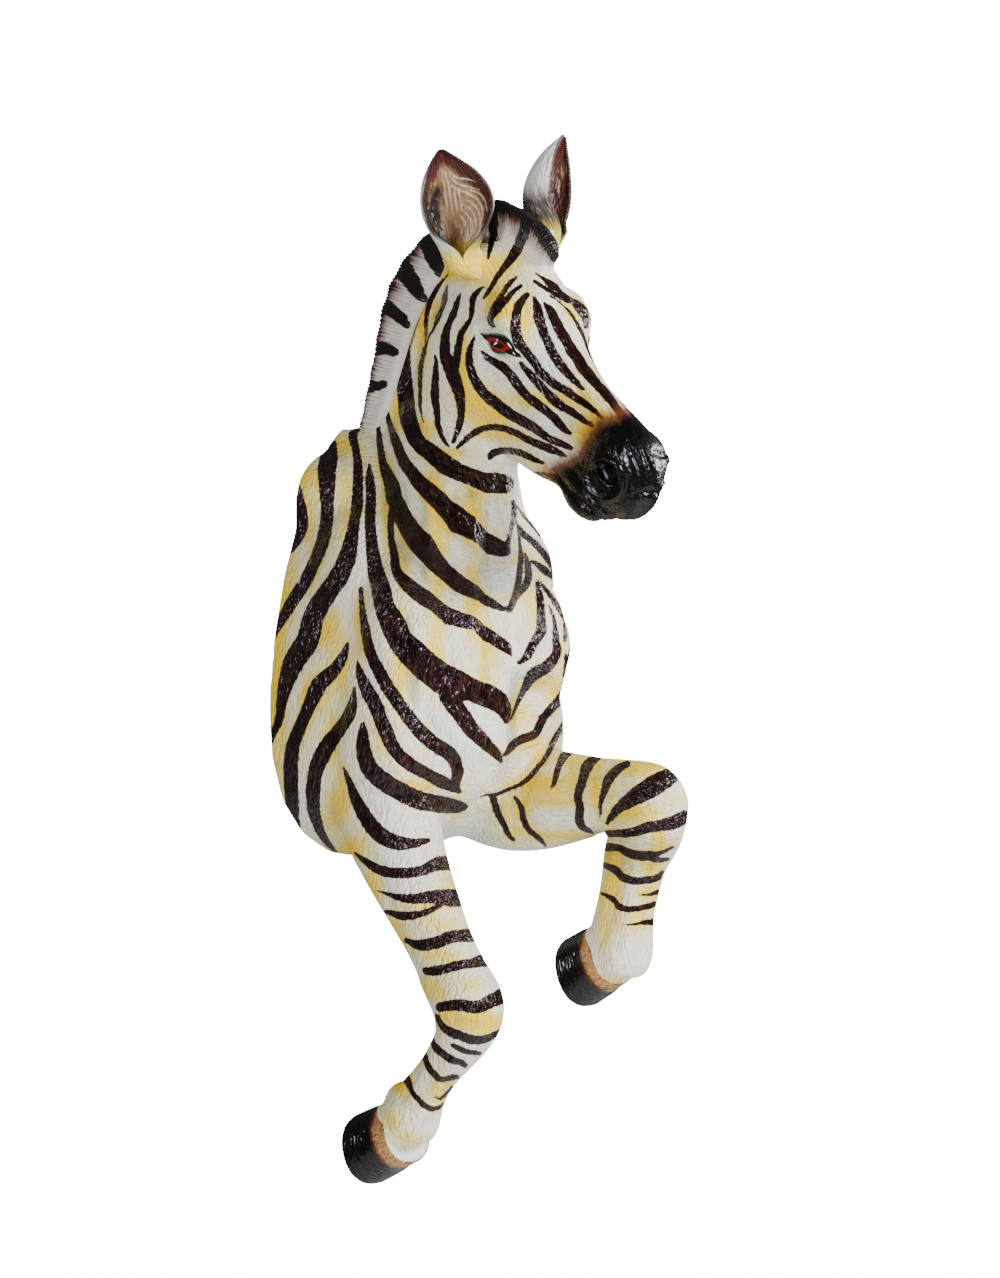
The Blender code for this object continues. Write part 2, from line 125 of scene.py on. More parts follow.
# Stripes, as strokes of a brush in the photograph: x, y and half width in its pixels
HEAD_STRIPES = (
    ((448, 274, 1), (436, 290, 2.5), (429, 305, 3), (426, 320, 2.5), (426, 335, 1.5), (425, 342, 0.8)),
    ((417, 303, 1), (412, 314, 4), (406, 330, 5.5), (403, 345, 6.5), (404, 360, 6.8), (404, 380, 7.1),
     (405, 400, 7.8), (408, 420, 8), (416, 440, 8), (430, 452, 9), (448, 466, 10), (470, 476, 9),
     (486, 482, 10.5), (495, 483, 10.5), (504, 484, 10)),
    ((496, 205, 4), (494, 225, 4), (491, 243, 3.5), (488, 258, 1.5)),
    ((447, 286, 1), (445, 296, 3), (443, 306, 2.6), (438, 318, 2.6), (434, 328, 1.6), (428, 339, 1.2),
     (424, 352, 2.4), (421, 366, 2.6), (420, 380, 2.6), (420, 395, 2.4), (420, 408, 1.8), (423, 422, 0.6)),
    ((435, 355, 0.8), (436, 365, 2.6), (435, 384, 4.2), (435, 398, 4.4), (437, 412, 3.6), (438, 424, 3),
     (441, 434, 2.8), (445, 442, 2), (450, 448, 0.8)),
    ((461, 293, 0.8), (457, 303, 3), (454, 313, 3.8), (449, 323, 3.6), (446, 333, 4.4), (445, 345, 5.5),
     (445, 355, 6), (450, 366, 7.5), (454, 378, 7), (459, 392, 6), (461, 405, 4.6), (461, 416, 4),
     (459, 426, 3.8), (456, 435, 2.6), (453, 442, 2.2)),
    ((485, 286, 0.8), (478, 291, 2.6), (473, 299, 3.4), (472, 309, 3), (471, 317, 2.4), (467, 325, 2.8),
     (461, 334, 3.4), (459, 344, 3.8), (457, 356, 4), (455, 368, 4.5)),
    ((475, 334, 0.8), (472, 343, 2.4), (469, 354, 3.6), (470, 366, 4.6), (475, 380, 5), (484, 393, 5.6),
     (496, 404, 5.6), (508, 413, 5.5), (520, 420, 5.4), (534, 428, 4.8), (548, 438, 4), (562, 444, 3.8),
     (571, 448, 2.6)),
    ((481, 351, 0.8), (488, 358, 3), (498, 364, 4), (508, 371, 4.4), (517, 383, 5), (527, 396, 5.2),
     (540, 406, 5.2), (552, 416, 5), (562, 427, 4.2), (570, 433, 2.2)),
    ((520, 363, 2), (527, 371, 3.6), (537, 382, 4.6), (548, 394, 4.8), (560, 405, 4.4), (572, 412, 4),
     (583, 420, 3.2), (593, 426, 2)),
    ((527, 295, 3), (519, 305, 4.6), (516, 318, 5), (516, 330, 5.6), (519, 342, 5.6), (527, 353, 5),
     (534, 362, 4.8), (542, 373, 4.6), (554, 384, 4.6), (566, 391, 4.4), (579, 400, 4), (591, 408, 3.4),
     (602, 418, 1.6)),
    ((534, 297, 1.6), (537, 306, 4.2), (539, 318, 5.4), (543, 331, 5), (549, 345, 5.2), (555, 357, 5.4),
     (562, 367, 4.8), (572, 378, 4), (580, 386, 2.6), (584, 389, 1.6)),
    ((544, 303, 1.6), (551, 312, 4.8), (557, 325, 5.6), (565, 339, 5.6), (574, 354, 6), (583, 368, 5.6),
     (595, 383, 5), (607, 396, 4.6), (616, 408, 4), (623, 418, 4)),
    ((550, 296, 0.8), (563, 305, 1.2), (572, 315, 1.6), (579, 327, 2), (584, 338, 2), (590, 354, 1.2),
     (601, 375, 0.8), (614, 392, 1), (624, 406, 0.8)),
    ((535, 273, 1), (545, 280, 2.4), (553, 286, 4.4), (562, 295, 3.6), (572, 301, 3.4), (580, 308, 5.4),
     (585, 316, 4.6), (586, 327, 2.4)),
    ((534, 281, 1.8), (545, 288, 2.2), (557, 295.5, 2.2), (568, 302, 1.8)),
    ((530, 226, 5), (522, 240, 5.6), (516, 251, 5.6), (510, 260, 4.6), (503, 269, 3.4), (498, 276, 3),
     (493, 284, 2.6), (489, 291, 2.4), (484, 298, 1.6)),
    ((517, 277, 1.4), (510, 283, 2.8), (504, 291, 2.8), (499, 300, 3.4), (494, 309, 4), (492, 318, 3.8),
     (493, 325, 3)),
    ((521, 286, 2), (514, 291, 2.6), (507, 299, 3.4), (500, 306, 4.2), (494, 315, 3.6)),
    ((457, 448, 1.4), (464, 441, 3), (473, 434, 3.4), (482, 429, 3.4), (493, 427, 3.4), (505, 429, 3.6),
     (516, 433, 3.6), (527, 439, 3.8), (538, 444, 4.2), (550, 449, 4.6), (560, 453, 3.4), (566, 456, 1.6)),
    ((489, 459, 2), (492, 454, 4), (500, 451, 3.6), (512, 451, 3.6), (523, 454, 3.6), (533, 459, 3.2),
     (542, 463, 2)),
    ((521, 471, 0.8), (531, 473, 1.8), (543, 475, 2.6), (552, 478, 4)),
)
NECK_STRIPES = (
    ((398, 348, 0.5), (392, 362, 1.2), (388, 375, 1.8), (385.5, 388, 2), (384.5, 401, 2.3), (387, 414, 2.5),
     (391, 428, 3.5), (396, 442, 5), (404, 462, 6), (414, 475, 7), (420, 483, 8), (440, 502, 10),
     (460, 521, 11.5), (480, 536, 9.5), (494, 546, 9), (503, 550, 7)),
    ((376, 409, 1), (378, 426, 2.5), (380, 444, 3.5), (382, 459, 4), (386, 472, 6), (392, 486, 8),
     (394, 499, 8.5)),
    ((394, 499, 4), (391, 519, 3.5), (391, 536, 3.5), (394, 554, 4.5), (397, 572, 5.5), (408, 585, 7.5),
     (424, 598, 8), (439, 609, 8), (455, 618, 8), (472, 624, 7), (490, 636, 6.5), (503, 646, 5.5),
     (510, 655, 2)),
    ((396, 501, 8), (404, 519, 9.5), (413, 534, 11), (424, 547, 12), (435, 561, 10), (448, 574, 9),
     (461, 585, 8.5), (477, 594, 6.5), (490, 602, 5), (502, 609, 3)),
    ((297, 482, 2.5), (297, 495, 6.5), (298, 510, 9), (299, 525, 9.5), (296, 538, 7), (291, 550, 3)),
    ((330, 445, 7), (329, 457, 9), (327, 470, 9.5), (327, 484, 8.5), (327, 499, 7), (327, 517, 6.5),
     (324, 536, 7), (318, 554, 6.5), (310, 572, 6.5), (302, 587, 6.5), (292, 602, 6.5), (283, 618, 5),
     (276, 629, 4.5), (272, 643, 1)),
    ((353, 431, 3), (353, 437, 4.5), (356, 451, 4), (358, 466, 5), (358, 484, 5.5), (357, 505, 6),
     (354, 523, 6), (351, 541, 7.5), (347, 558, 9), (339, 576, 10), (329, 591, 10), (318, 607, 10.5),
     (312, 622, 11), (308, 640, 11.5), (295, 660, 11), (287, 680, 8.5), (282, 700, 6), (279, 720, 4.5),
     (272, 737, 3), (271, 747, 0.8)),
    ((369, 465, 1.5), (370, 479, 4.5), (371, 499, 5.5), (370, 517, 5.5), (371, 536, 6), (373, 554, 7),
     (376, 572, 8.5), (381, 589, 10), (385, 607, 10.5), (393, 624, 13), (400, 640, 13), (413, 655, 15),
     (432, 671, 15), (451, 683, 16), (472, 690, 12), (490, 697, 12), (502, 706, 9), (505, 720, 4)),
    ((448, 697, 9), (460, 713, 9), (472, 730, 8), (483, 741, 7), (495, 753, 5), (501, 761, 2.5)),
)
TRUNK_STRIPES = (
    ((346, 643, 1.5), (342, 655, 4.5), (334, 669, 6), (320, 683, 8), (313, 697, 7.5), (306, 713, 6.5),
     (299, 730, 6.5), (293, 746, 7), (291, 765, 7.5), (291, 783, 7.5), (292, 802, 7), (295, 818, 4.5),
     (300, 832, 1.5)),
    ((354, 688, 1.5), (353, 699, 4.5), (349, 713, 7), (340, 727, 7.5), (329, 741, 7.5), (320, 758, 8),
     (315, 774, 7.5), (313, 793, 7.5), (314, 811, 6.5), (319, 828, 5), (327, 842, 3.5), (336, 852, 1.5)),
    ((361, 589, 2.5), (362, 605, 3), (364, 622, 4.5), (367, 639, 5.5), (371, 655, 6), (379, 671, 6.5),
     (388, 688, 7), (399, 704, 7), (411, 720, 7.5), (423, 734, 8), (437, 746, 7.5), (451, 755, 7.5),
     (458, 769, 6.5), (456, 781, 5), (458, 790, 2.5)),
    ((357, 661, 1), (360, 674, 4.5), (367, 690, 7), (375, 704, 7.5), (381, 720, 7.5), (388, 737, 7.5),
     (397, 753, 7), (411, 765, 7), (427, 774, 6.5), (444, 783, 6.5), (459, 791, 3)),
    ((363, 724, 2.5), (363, 737, 6), (364, 753, 8), (370, 769, 9), (383, 781, 9.5), (399, 791, 9.5),
     (418, 800, 9.5), (437, 804, 8.5), (453, 807, 8), (468, 808, 2)),
    ((343, 768, 1.5), (349, 781, 3.5), (355, 797, 5.5), (362, 811, 7), (371, 825, 8), (383, 837, 8),
     (399, 843, 7.5), (416, 843, 5), (428, 840, 2.5)),
)
LEFT_CHEST_STRIPES = (
    ((512, 501, 2), (514, 514, 3), (511, 525, 3), (507, 541, 3), (505, 554, 2)),
    ((512, 501, 1.5), (525, 517, 1.2), (540, 536, 1)),
    ((517, 521, 2), (525, 534, 3), (536, 545, 3.5), (547, 558, 3.5), (558, 576, 2.5)),
    ((519, 525, 1.5), (522, 554, 3), (521, 567, 4), (519, 583, 4.5), (514, 598, 5), (508, 609, 4)),
    ((526, 552, 1), (529, 567, 3), (528, 583, 3.5), (517, 597, 4)),
    ((532, 561, 1.5), (543, 569, 4), (556, 580, 2)),
    ((538, 580, 1), (547, 591, 2.5), (558, 607, 3), (565, 620, 2.5), (565, 640, 2)),
    ((537, 583, 2), (540, 598, 4), (541, 613, 4.5), (541, 631, 5.5), (535, 641, 5), (528, 655, 4.5),
     (520, 663, 2)),
    ((549, 605, 1), (554, 620, 2), (556, 641, 4), (556, 655, 5), (546, 667, 6.5), (532, 676, 6.5),
     (525, 688, 4), (518, 702, 2.5), (510, 721, 1)),
    ((566, 655, 1.5), (565, 681, 3), (563, 695, 5), (551, 709, 4.5), (542, 720, 4.5), (535, 734, 4.5),
     (518, 741, 4.5), (507, 751, 4), (504, 755, 2)),
    ((571, 697, 2), (567, 720, 3), (556, 739, 3), (544, 758, 2.5), (530, 776, 2.5), (514, 788, 2),
     (497, 796, 2), (481, 798, 1)),
)
LEFT_FORELEG_STRIPES = (
    ((494, 800, 3.5), (497, 811, 4), (503, 823, 3), (509, 835, 3), (514, 840, 1.5)),
    ((514, 797, 1.5), (521, 807, 3), (524, 821, 3.5), (530, 831, 3), (539, 838, 3), (546, 846, 1)),
    ((577, 749, 1.5), (565, 755, 4.5), (559, 767, 3.5), (556, 779, 3), (551, 789, 1.5)),
    ((598, 758, 3), (588, 765, 6), (584, 779, 5), (578, 795, 4.5), (579, 811, 4.5), (581, 825, 4.5),
     (593, 834, 1)),
    ((627, 764, 3.5), (617, 770, 5), (610, 779, 5.2), (606, 788, 4), (602, 798, 3.2), (600, 808, 2),
     (600, 818, 1)),
    ((676, 773, 7), (664, 780, 9.5), (652, 787, 10.5), (640, 794, 9.5), (629, 801, 7.5), (619, 808, 5.5),
     (612, 816, 4), (607, 823, 2.2)),
    ((607, 833.5, 3.5), (620, 833.5, 4), (634, 832, 5), (646, 828, 6), (660, 825.5, 6), (672, 823, 7),
     (684, 817, 7)),
    ((606, 847, 4.5), (618, 848, 4), (626, 852, 4.5), (638, 855, 5), (650, 856, 5), (660, 853, 2.5),
     (673, 847, 1.5)),
    ((650, 858, 4), (660, 860, 3), (668, 859, 2)),
    ((604, 865, 3), (615, 870, 4), (622, 877, 4.5), (636, 880.5, 4.2), (650, 880, 3.8), (658, 877, 3.5),
     (662, 872, 2)),
    ((640, 895, 0.8), (648, 895, 1.5), (658, 892, 2.5)),
    ((601, 893, 1.5), (612, 899, 3), (618, 906, 3.5), (628, 909, 3.5), (642, 908, 3.2), (655, 904, 3)),
    ((621, 925, 0.6), (636, 924, 1.5), (652, 922, 3.5)),
)
RIGHT_FORELEG_STRIPES = (
    ((355, 853, 1.5), (368, 863, 4), (381, 871, 5.5), (400, 873, 5.5), (421, 871, 5.5), (437, 864, 7),
     (451, 863, 8)),
    ((376, 891, 0.8), (392, 896, 3), (411, 899, 5), (432, 897, 6.5), (448, 898, 9), (461, 898, 9)),
    ((385, 912, 2), (400, 916, 4.5), (416, 915, 4), (429, 911, 3), (440, 905, 3)),
    ((405, 941, 3), (419, 945, 5.5), (435, 943, 6.5), (453, 937, 6.5), (475, 935, 7)),
    ((425, 971, 4), (435, 971, 5), (453, 967, 5), (469, 964, 5), (485, 960, 7)),
    ((440, 1007, 5), (459, 1005, 6), (477, 1007, 6.5), (491, 1001, 7), (504, 995, 8)),
    ((437, 1016, 2.5), (443, 1027, 4), (459, 1036, 5), (477, 1040, 5), (491, 1036, 4), (503, 1029, 2)),
    ((452, 1045, 2), (464, 1051, 3), (479, 1053, 2.5)),
    ((428, 1033, 2.5), (431, 1041, 3), (437, 1049, 4), (451, 1059, 4), (465, 1065, 3)),
    ((421, 1049, 2.5), (425, 1060, 3.5), (432, 1072, 3.5), (443, 1079, 3.5), (457, 1077, 2.5)),
    ((405, 1075, 4), (409, 1087, 3), (416, 1097, 3), (427, 1107, 3), (435, 1109, 2.5), (443, 1104, 1.5)),
    ((435, 1097, 1), (441, 1099, 1.5), (452, 1087, 1.5)),
)
MUZZLE_PATCH = (
    (627, 411), (615, 417), (601, 422), (592, 433), (586, 445), (580, 456), (563, 465), (550, 471),
    (548, 482), (556, 520), (600, 570), (700, 570), (720, 450), (680, 390), (640, 396),
)
# Yellow airbrushing: x, y, half width, half height in the photograph's pixels, strength
YELLOW_PUFFS = (
    (470, 268, 36, 14, 1.0), (452, 272, 14, 10, 1.0), (423, 325, 6, 40, 0.9), (435, 310, 5, 22, 0.7),
    (396, 385, 6, 50, 0.8), (464, 366, 6, 34, 1.0), (478, 404, 16, 22, 0.9), (486, 416, 26, 8, 0.7),
    (548, 400, 34, 8, 1.0), (525, 318, 6, 26, 0.9), (596, 420, 12, 12, 0.7), (588, 434, 14, 12, 1.0),
    (502, 309, 18, 9, 0.9), (493, 300, 10, 12, 0.7), (500, 436, 26, 5, 0.5), (420, 428, 14, 10, 0.7),
    (444, 454, 20, 6, 0.9), (574, 310, 10, 10, 0.8),
    (432, 490, 8, 12, 0.8), (437, 545, 9, 60, 0.8), (436, 630, 9, 40, 0.7), (474, 512, 8, 40, 0.9),
    (472, 600, 8, 50, 0.7), (487, 660, 10, 30, 0.6), (404, 560, 8, 50, 0.5), (386, 520, 5, 50, 0.5),
    (300, 474, 14, 14, 1.0), (288, 470, 14, 30, 1.0), (283, 570, 14, 50, 0.8), (270, 680, 14, 70, 1.0),
    (268, 770, 10, 50, 0.9), (335, 448, 16, 12, 0.8), (345, 500, 6, 50, 0.6), (310, 540, 6, 50, 0.5),
    (330, 630, 12, 20, 0.8), (360, 620, 6, 30, 0.6), (340, 680, 8, 26, 0.6), (305, 690, 8, 30, 0.5),
    (338, 806, 9, 26, 0.9), (330, 740, 8, 40, 0.6), (400, 676, 8, 26, 0.7), (380, 735, 10, 24, 0.5),
    (420, 786, 22, 6, 0.5), (352, 850, 14, 18, 0.9), (372, 888, 8, 26, 0.9), (396, 940, 10, 30, 0.7),
    (410, 906, 20, 6, 0.5), (440, 925, 22, 8, 0.5), (440, 955, 20, 8, 0.6), (430, 990, 14, 10, 0.8),
    (478, 1022, 30, 9, 1.0), (450, 1018, 10, 10, 0.8), (418, 1050, 8, 16, 0.8), (438, 1092, 12, 14, 0.7),
    (400, 1080, 8, 20, 0.8), (392, 1120, 12, 18, 0.6), (410, 1138, 12, 8, 0.6),
    (532, 600, 8, 40, 0.5), (550, 690, 10, 14, 0.6), (520, 715, 10, 14, 0.6), (540, 755, 12, 12, 0.6),
    (541, 786, 26, 12, 1.0), (508, 810, 16, 14, 0.7), (596, 786, 8, 26, 1.0), (574, 776, 7, 20, 0.8),
    (612, 790, 8, 18, 0.6), (655, 763, 24, 7, 1.0), (636, 786, 22, 8, 0.5), (632, 812, 26, 9, 1.0),
    (672, 800, 16, 10, 0.4), (612, 856, 10, 14, 1.0), (610, 884, 6, 16, 0.9), (604, 925, 7, 30, 0.7),
    (660, 838, 6, 14, 0.8), (650, 868, 8, 10, 0.7), (642, 892, 12, 6, 0.6), (632, 920, 8, 20, 0.5),
    (610, 985, 14, 10, 0.7), (545, 800, 34, 8, 0.8), (560, 836, 30, 7, 0.7), (520, 830, 14, 8, 0.6),
    (640, 770, 30, 8, 0.9), (618, 900, 5, 30, 0.7), (455, 880, 14, 8, 0.4), (470, 985, 14, 8, 0.6),
)
# Carving: height in millimetres, then x, y and half width in the photograph's pixels
CARVING = (
    # eye: the bulge of the ball drawn back, the brow over it, the crease, the lids, the hollow below
    (3.0, ((476, 328, 5), (488, 321, 6), (500, 321, 7), (512, 329, 6), (519, 343, 5))),
    (-1.7, ((474, 332, 2.2), (484, 328.5, 2.2), (496, 327.5, 2.2), (506, 331, 2.2), (513, 339, 2.2))),
    (2.0, ((478, 332, 2), (486, 332, 2.2), (496, 331.5, 2.2), (505, 335, 2.2), (512, 343, 2.2),
           (518, 356, 2))),
    (1.5, ((483, 340, 2), (488, 349, 2.2), (495, 355.5, 2.2), (506, 357.5, 2.2), (517, 358.5, 2))),
    (-2.2, ((482, 350, 3.5), (491, 360, 3.5), (504, 364, 3.5), (518, 364, 3))),
    (-1.5, ((517, 357, 2), (523, 362, 2.5), (531, 369, 3))),
    # face: crest under the eye, hollow below it, bridge of the nose, back edge of the cheek
    (2.6, ((482, 354, 6), (503, 373, 6), (528, 393, 6), (552, 411, 6))),
    (-2.4, ((500, 392, 8), (530, 412, 8), (556, 428, 7))),
    (1.6, ((548, 312, 5), (575, 352, 5), (606, 392, 5), (626, 420, 5))),
    (-1.6, ((536, 320, 6), (552, 356, 6), (580, 396, 6))),
    (-3.2, ((419, 300, 4), (411, 330, 4.5), (409, 360, 5), (410, 395, 5), (416, 425, 5), (432, 447, 5),
            (455, 462, 5), (480, 471, 5), (500, 475, 4))),
    # nostril: hollow and rim
    (-11.0, ((601, 470, 8), (606, 480, 9), (611, 488, 6.5))),
    (5.0, ((605, 457.5, 2.4), (596, 460, 2.4), (589, 466, 2.6), (586, 475, 2.6), (589, 486, 2.6),
           (596, 494, 2.6), (606, 499, 2.6), (616, 496, 2.6), (622, 488, 2.6), (623, 477, 2.6),
           (619, 466, 2.6), (605, 457.5, 2.6))),
    # wrinkles of the muzzle
    (1.5, ((609, 432, 1.6), (609, 442, 2), (607, 452, 1.6))),
    (1.2, ((615, 436, 1.4), (614, 447, 1.6), (615, 456, 1.2))),
    (2.2, ((623, 446, 2), (622, 456, 2.8), (626, 467, 2.8), (630, 478, 2.4), (632, 492, 2))),
    (1.8, ((632, 432, 2), (636, 443, 2.4), (641, 456, 2.4), (645, 470, 2))),
    (1.6, ((641, 438, 2.4), (648, 449, 2.8), (653, 460, 2.4), (655, 470, 2))),
    (1.4, ((632, 458, 1.8), (636, 470, 2), (638, 486, 2), (637, 502, 2))),
    (-1.6, ((616, 446, 1.6), (618, 458, 1.8), (624, 474, 1.8), (627, 490, 1.8))),
    (-1.6, ((628, 440, 1.8), (632, 452, 1.8), (639, 470, 1.8), (642, 488, 1.8))),
    (-1.4, ((643, 452, 1.6), (649, 466, 1.6), (650, 480, 1.6), (647, 494, 1.6))),
    (1.2, ((588, 447, 1.6), (584, 455, 1.8), (582, 463, 1.6))),
    (1.2, ((592, 448, 1.4), (589, 456, 1.6), (587, 461, 1.2))),
    # notches at the tip of the nose and under the upper lip
    (-3.0, ((655, 452, 3), (662, 455, 3.5), (668, 455, 3.5))),
    (-4.0, ((640, 494, 3), (650, 492, 4), (660, 493, 4))),
    # mouth, with the folds of the upper lip over it
    (-3.6, ((551, 469, 2.4), (559, 479, 2.6), (569, 491, 2.8), (582, 503, 2.8), (596, 514, 2.8),
            (610, 526, 2.6))),
    (2.6, ((566, 472, 3), (574, 484, 3.6), (585, 496, 3.8), (597, 507, 3.6), (610, 516, 3))),
    (-1.4, ((574, 472, 1.6), (583, 486, 1.8), (594, 500, 1.8), (606, 511, 1.6))),
    (1.2, ((580, 470, 1.4), (586, 484, 1.6), (596, 496, 1.6), (608, 506, 1.4))),
    (-1.2, ((590, 500, 1.4), (586, 508, 1.4), (584, 516, 1.2))),
    (-1.2, ((603, 508, 1.4), (600, 515, 1.4), (599, 523, 1.2))),
    (-1.2, ((616, 508, 1.4), (616, 516, 1.4), (616, 524, 1.2))),
    (-1.2, ((628, 504, 1.4), (630, 512, 1.4), (630, 522, 1.2))),
    # neck and breast: the long folds down the front, the fold under the breast, shoulder and elbow
    (4.5, ((430, 486, 6), (431, 540, 7), (429, 600, 7), (424, 650, 6))),
    (-6.0, ((452, 490, 4), (452, 560, 5), (448, 620, 5), (452, 680, 4))),
    (4.5, ((472, 500, 5), (474, 580, 6), (469, 650, 6))),
    (-5.0, ((489, 500, 4), (489, 560, 4), (487, 620, 4), (484, 700, 4))),
    (-3.6, ((521, 520, 4), (524, 580, 5), (519, 640, 5), (507, 700, 5))),
    (4.5, ((505, 480, 3.5), (506, 540, 4), (508, 620, 5), (506, 690, 5), (502, 750, 4))),
    (-3.6, ((572, 700, 4), (566, 722, 4), (552, 745, 4), (535, 772, 4), (514, 789, 4), (490, 798, 4))),
    (-4.5, ((392, 636, 7), (410, 690, 8), (432, 730, 7), (462, 764, 6))),
    (-4.5, ((404, 620, 4), (409, 668, 4), (407, 720, 4))),
    (3.6, ((415, 630, 4), (420, 668, 4), (420, 710, 4))),
    (-4.5, ((349, 640, 10), (335, 700, 11), (330, 760, 11))),
    (-3.6, ((425, 792, 5), (447, 803, 5), (470, 806, 5), (486, 798, 5))),
    (-2.4, ((440, 812, 4), (462, 818, 4), (478, 812, 4))),
    # right foreleg: muscles, tendons, knee cap, fetlock
    (-3.0, ((376, 872, 6), (396, 925, 6), (420, 975, 5))),
    (2.2, ((428, 870, 8), (446, 930, 8), (464, 976, 7))),
    (3.4, ((474, 1012, 10), (484, 1028, 10))),
    (-2.2, ((452, 1000, 4), (455, 1020, 4), (460, 1046, 4))),
    (-2.6, ((436, 1030, 3.6), (419, 1066, 4), (401, 1100, 4))),
    (2.0, ((450, 1062, 4), (434, 1088, 4), (418, 1112, 4))),
    (-2.0, ((462, 1060, 3), (447, 1082, 3), (432, 1106, 3))),
    (2.4, ((390, 1108, 8), (396, 1124, 8))),
    (-1.8, ((385, 1128, 3), (398, 1142, 3), (414, 1146, 3))),
    # left foreleg
    (-3.0, ((512, 792, 6), (552, 800, 6), (596, 812, 5))),
    (2.2, ((530, 770, 8), (570, 776, 8), (610, 782, 8))),
    (3.2, ((664, 782, 11), (678, 800, 11))),
    (-3.0, ((592, 830, 4), (606, 836, 4), (618, 838, 3))),
    (-2.6, ((620, 850, 4), (614, 892, 4), (604, 940, 4))),
    (2.0, ((636, 850, 5), (630, 900, 5), (624, 950, 5))),
    (-2.0, ((650, 850, 3), (644, 900, 3), (640, 950, 3))),
    (2.4, ((612, 956, 8), (616, 972, 8))),
)
# How far a puff fades beyond its half width and half height
PUFF_WIDER, PUFF_TALLER = 1.35, 1.15
# Where the skin is kept finer, for the eyes and the muzzle, as puffs, and how deep in them it starts
FINE_PLACES = ((499, 345, 30, 24, 1.0), (615, 475, 62, 58, 1.0))
FINE_SHARE = 0.60


def through(stations, steps=4):
    """The stations with smooth ones between them, on a Catmull-Rom curve."""
    points = np.array(stations, float)
    padded = np.vstack((points[:1], points, points[-1:]))
    smooth = []
    for a, b, c, d in zip(padded, padded[1:], padded[2:], padded[3:]):
        for step in range(steps):
            t = step / steps
            bend = 2 * a - 5 * b + 4 * c - d
            twist = 3 * b - a - 3 * c + d
            smooth.append(0.5 * (2 * b + (c - a) * t + bend * t**2 + twist * t**3))
    smooth.append(points[-1])
    return np.array(smooth)


def in_photo(points):
    """Where points in the world lie in the photograph, in its pixels, and how far they are."""
    away = np.asarray(points) - np.array(EYE_POINT)
    depth = away @ np.array(LOOK)
    x = PHOTO_WIDE / 2 + FOCAL_PX * (away @ np.array(ASIDE)) / depth
    y = PHOTO_TALL / 2 - FOCAL_PX * away[:, 2] / depth
    return x, y, depth


def ramp(value, low, high):
    """A smooth rise from 0 at low to 1 at high."""
    t = np.clip((value - low) / (high - low), 0, 1)
    return t * t * (3 - 2 * t)


# The painter's sheet: a fine grid over the photograph's frame, on which strokes are laid as distances
SHEET_LEFT, SHEET_TOP, SHEET_WIDE, SHEET_TALL = 230, 90, 520, 1120
SHEET_STEP = 0.5
SHEET_SHAPE = (int(SHEET_TALL / SHEET_STEP), int(SHEET_WIDE / SHEET_STEP))
STROKE_REACH = 14.0
FAR = 99.0


def window(xs, ys, reach_x, reach_y):
    """The part of the sheet round some points, as slices, with the pixel places of its cells."""
    left = int(max(0, (min(xs) - reach_x - SHEET_LEFT) / SHEET_STEP))
    right = int(min(SHEET_SHAPE[1], (max(xs) + reach_x - SHEET_LEFT) / SHEET_STEP + 2))
    top = int(max(0, (min(ys) - reach_y - SHEET_TOP) / SHEET_STEP))
    bottom = int(min(SHEET_SHAPE[0], (max(ys) + reach_y - SHEET_TOP) / SHEET_STEP + 2))
    x = SHEET_LEFT + SHEET_STEP * np.arange(left, right)[None, :]
    y = SHEET_TOP + SHEET_STEP * np.arange(top, bottom)[:, None]
    return (slice(top, bottom), slice(left, right)), x, y


def stroke_distance(x, y, start, end):
    """Distance from each cell to a stroke's piece, and the stroke's half width there."""
    run, rise = end[0] - start[0], end[1] - start[1]
    t = np.clip(((x - start[0]) * run + (y - start[1]) * rise) / max(run**2 + rise**2, 1e-9), 0, 1)
    away = np.hypot(x - start[0] - t * run, y - start[1] - t * rise)
    return away, start[2] + (end[2] - start[2]) * t


def painted(strokes):
    """How deep each cell lies inside the strokes, in pixels; outside them it is negative."""
    sheet = np.full(SHEET_SHAPE, -STROKE_REACH, np.float32)
    for stroke in strokes:
        smooth = through(stroke)
        for start, end in zip(smooth, smooth[1:]):
            reach = max(start[2], end[2]) + STROKE_REACH
            part, x, y = window((start[0], end[0]), (start[1], end[1]), reach, reach)
            away, half = stroke_distance(x, y, start, end)
            sheet[part] = np.maximum(sheet[part], half - away)
    return sheet


def filled(outline):
    """How deep each cell lies inside a closed outline, in pixels."""
    sheet = np.full(SHEET_SHAPE, -STROKE_REACH, np.float32)
    xs, ys = zip(*outline)
    part, x, y = window(xs, ys, STROKE_REACH, STROKE_REACH)
    nearest = np.full((y.shape[0], x.shape[1]), FAR)
    inside = np.zeros(nearest.shape, bool)
    for (x0, y0), (x1, y1) in zip(outline, outline[1:] + outline[:1]):
        nearest = np.minimum(nearest, stroke_distance(x, y, (x0, y0, 0), (x1, y1, 0))[0])
        if y0 != y1:
            crossing = x0 + (y - y0) * (x1 - x0) / (y1 - y0)
            inside ^= ((y0 > y) != (y1 > y)) & (x < crossing)
    sheet[part] = np.maximum(sheet[part], np.where(inside, nearest, -nearest))
    return sheet


def puffed(puffs):
    """Soft clouds, from their strength in the middle to nothing."""
    sheet = np.zeros(SHEET_SHAPE, np.float32)
    for middle_x, middle_y, wide, tall, strength in puffs:
        part, x, y = window((middle_x,), (middle_y,), 3 * wide, 3 * tall)
        across, down = (x - middle_x) / (PUFF_WIDER * wide), (y - middle_y) / (PUFF_TALLER * tall)
        sheet[part] = np.maximum(sheet[part], strength * np.exp(-(across**2) - down**2))
    return sheet


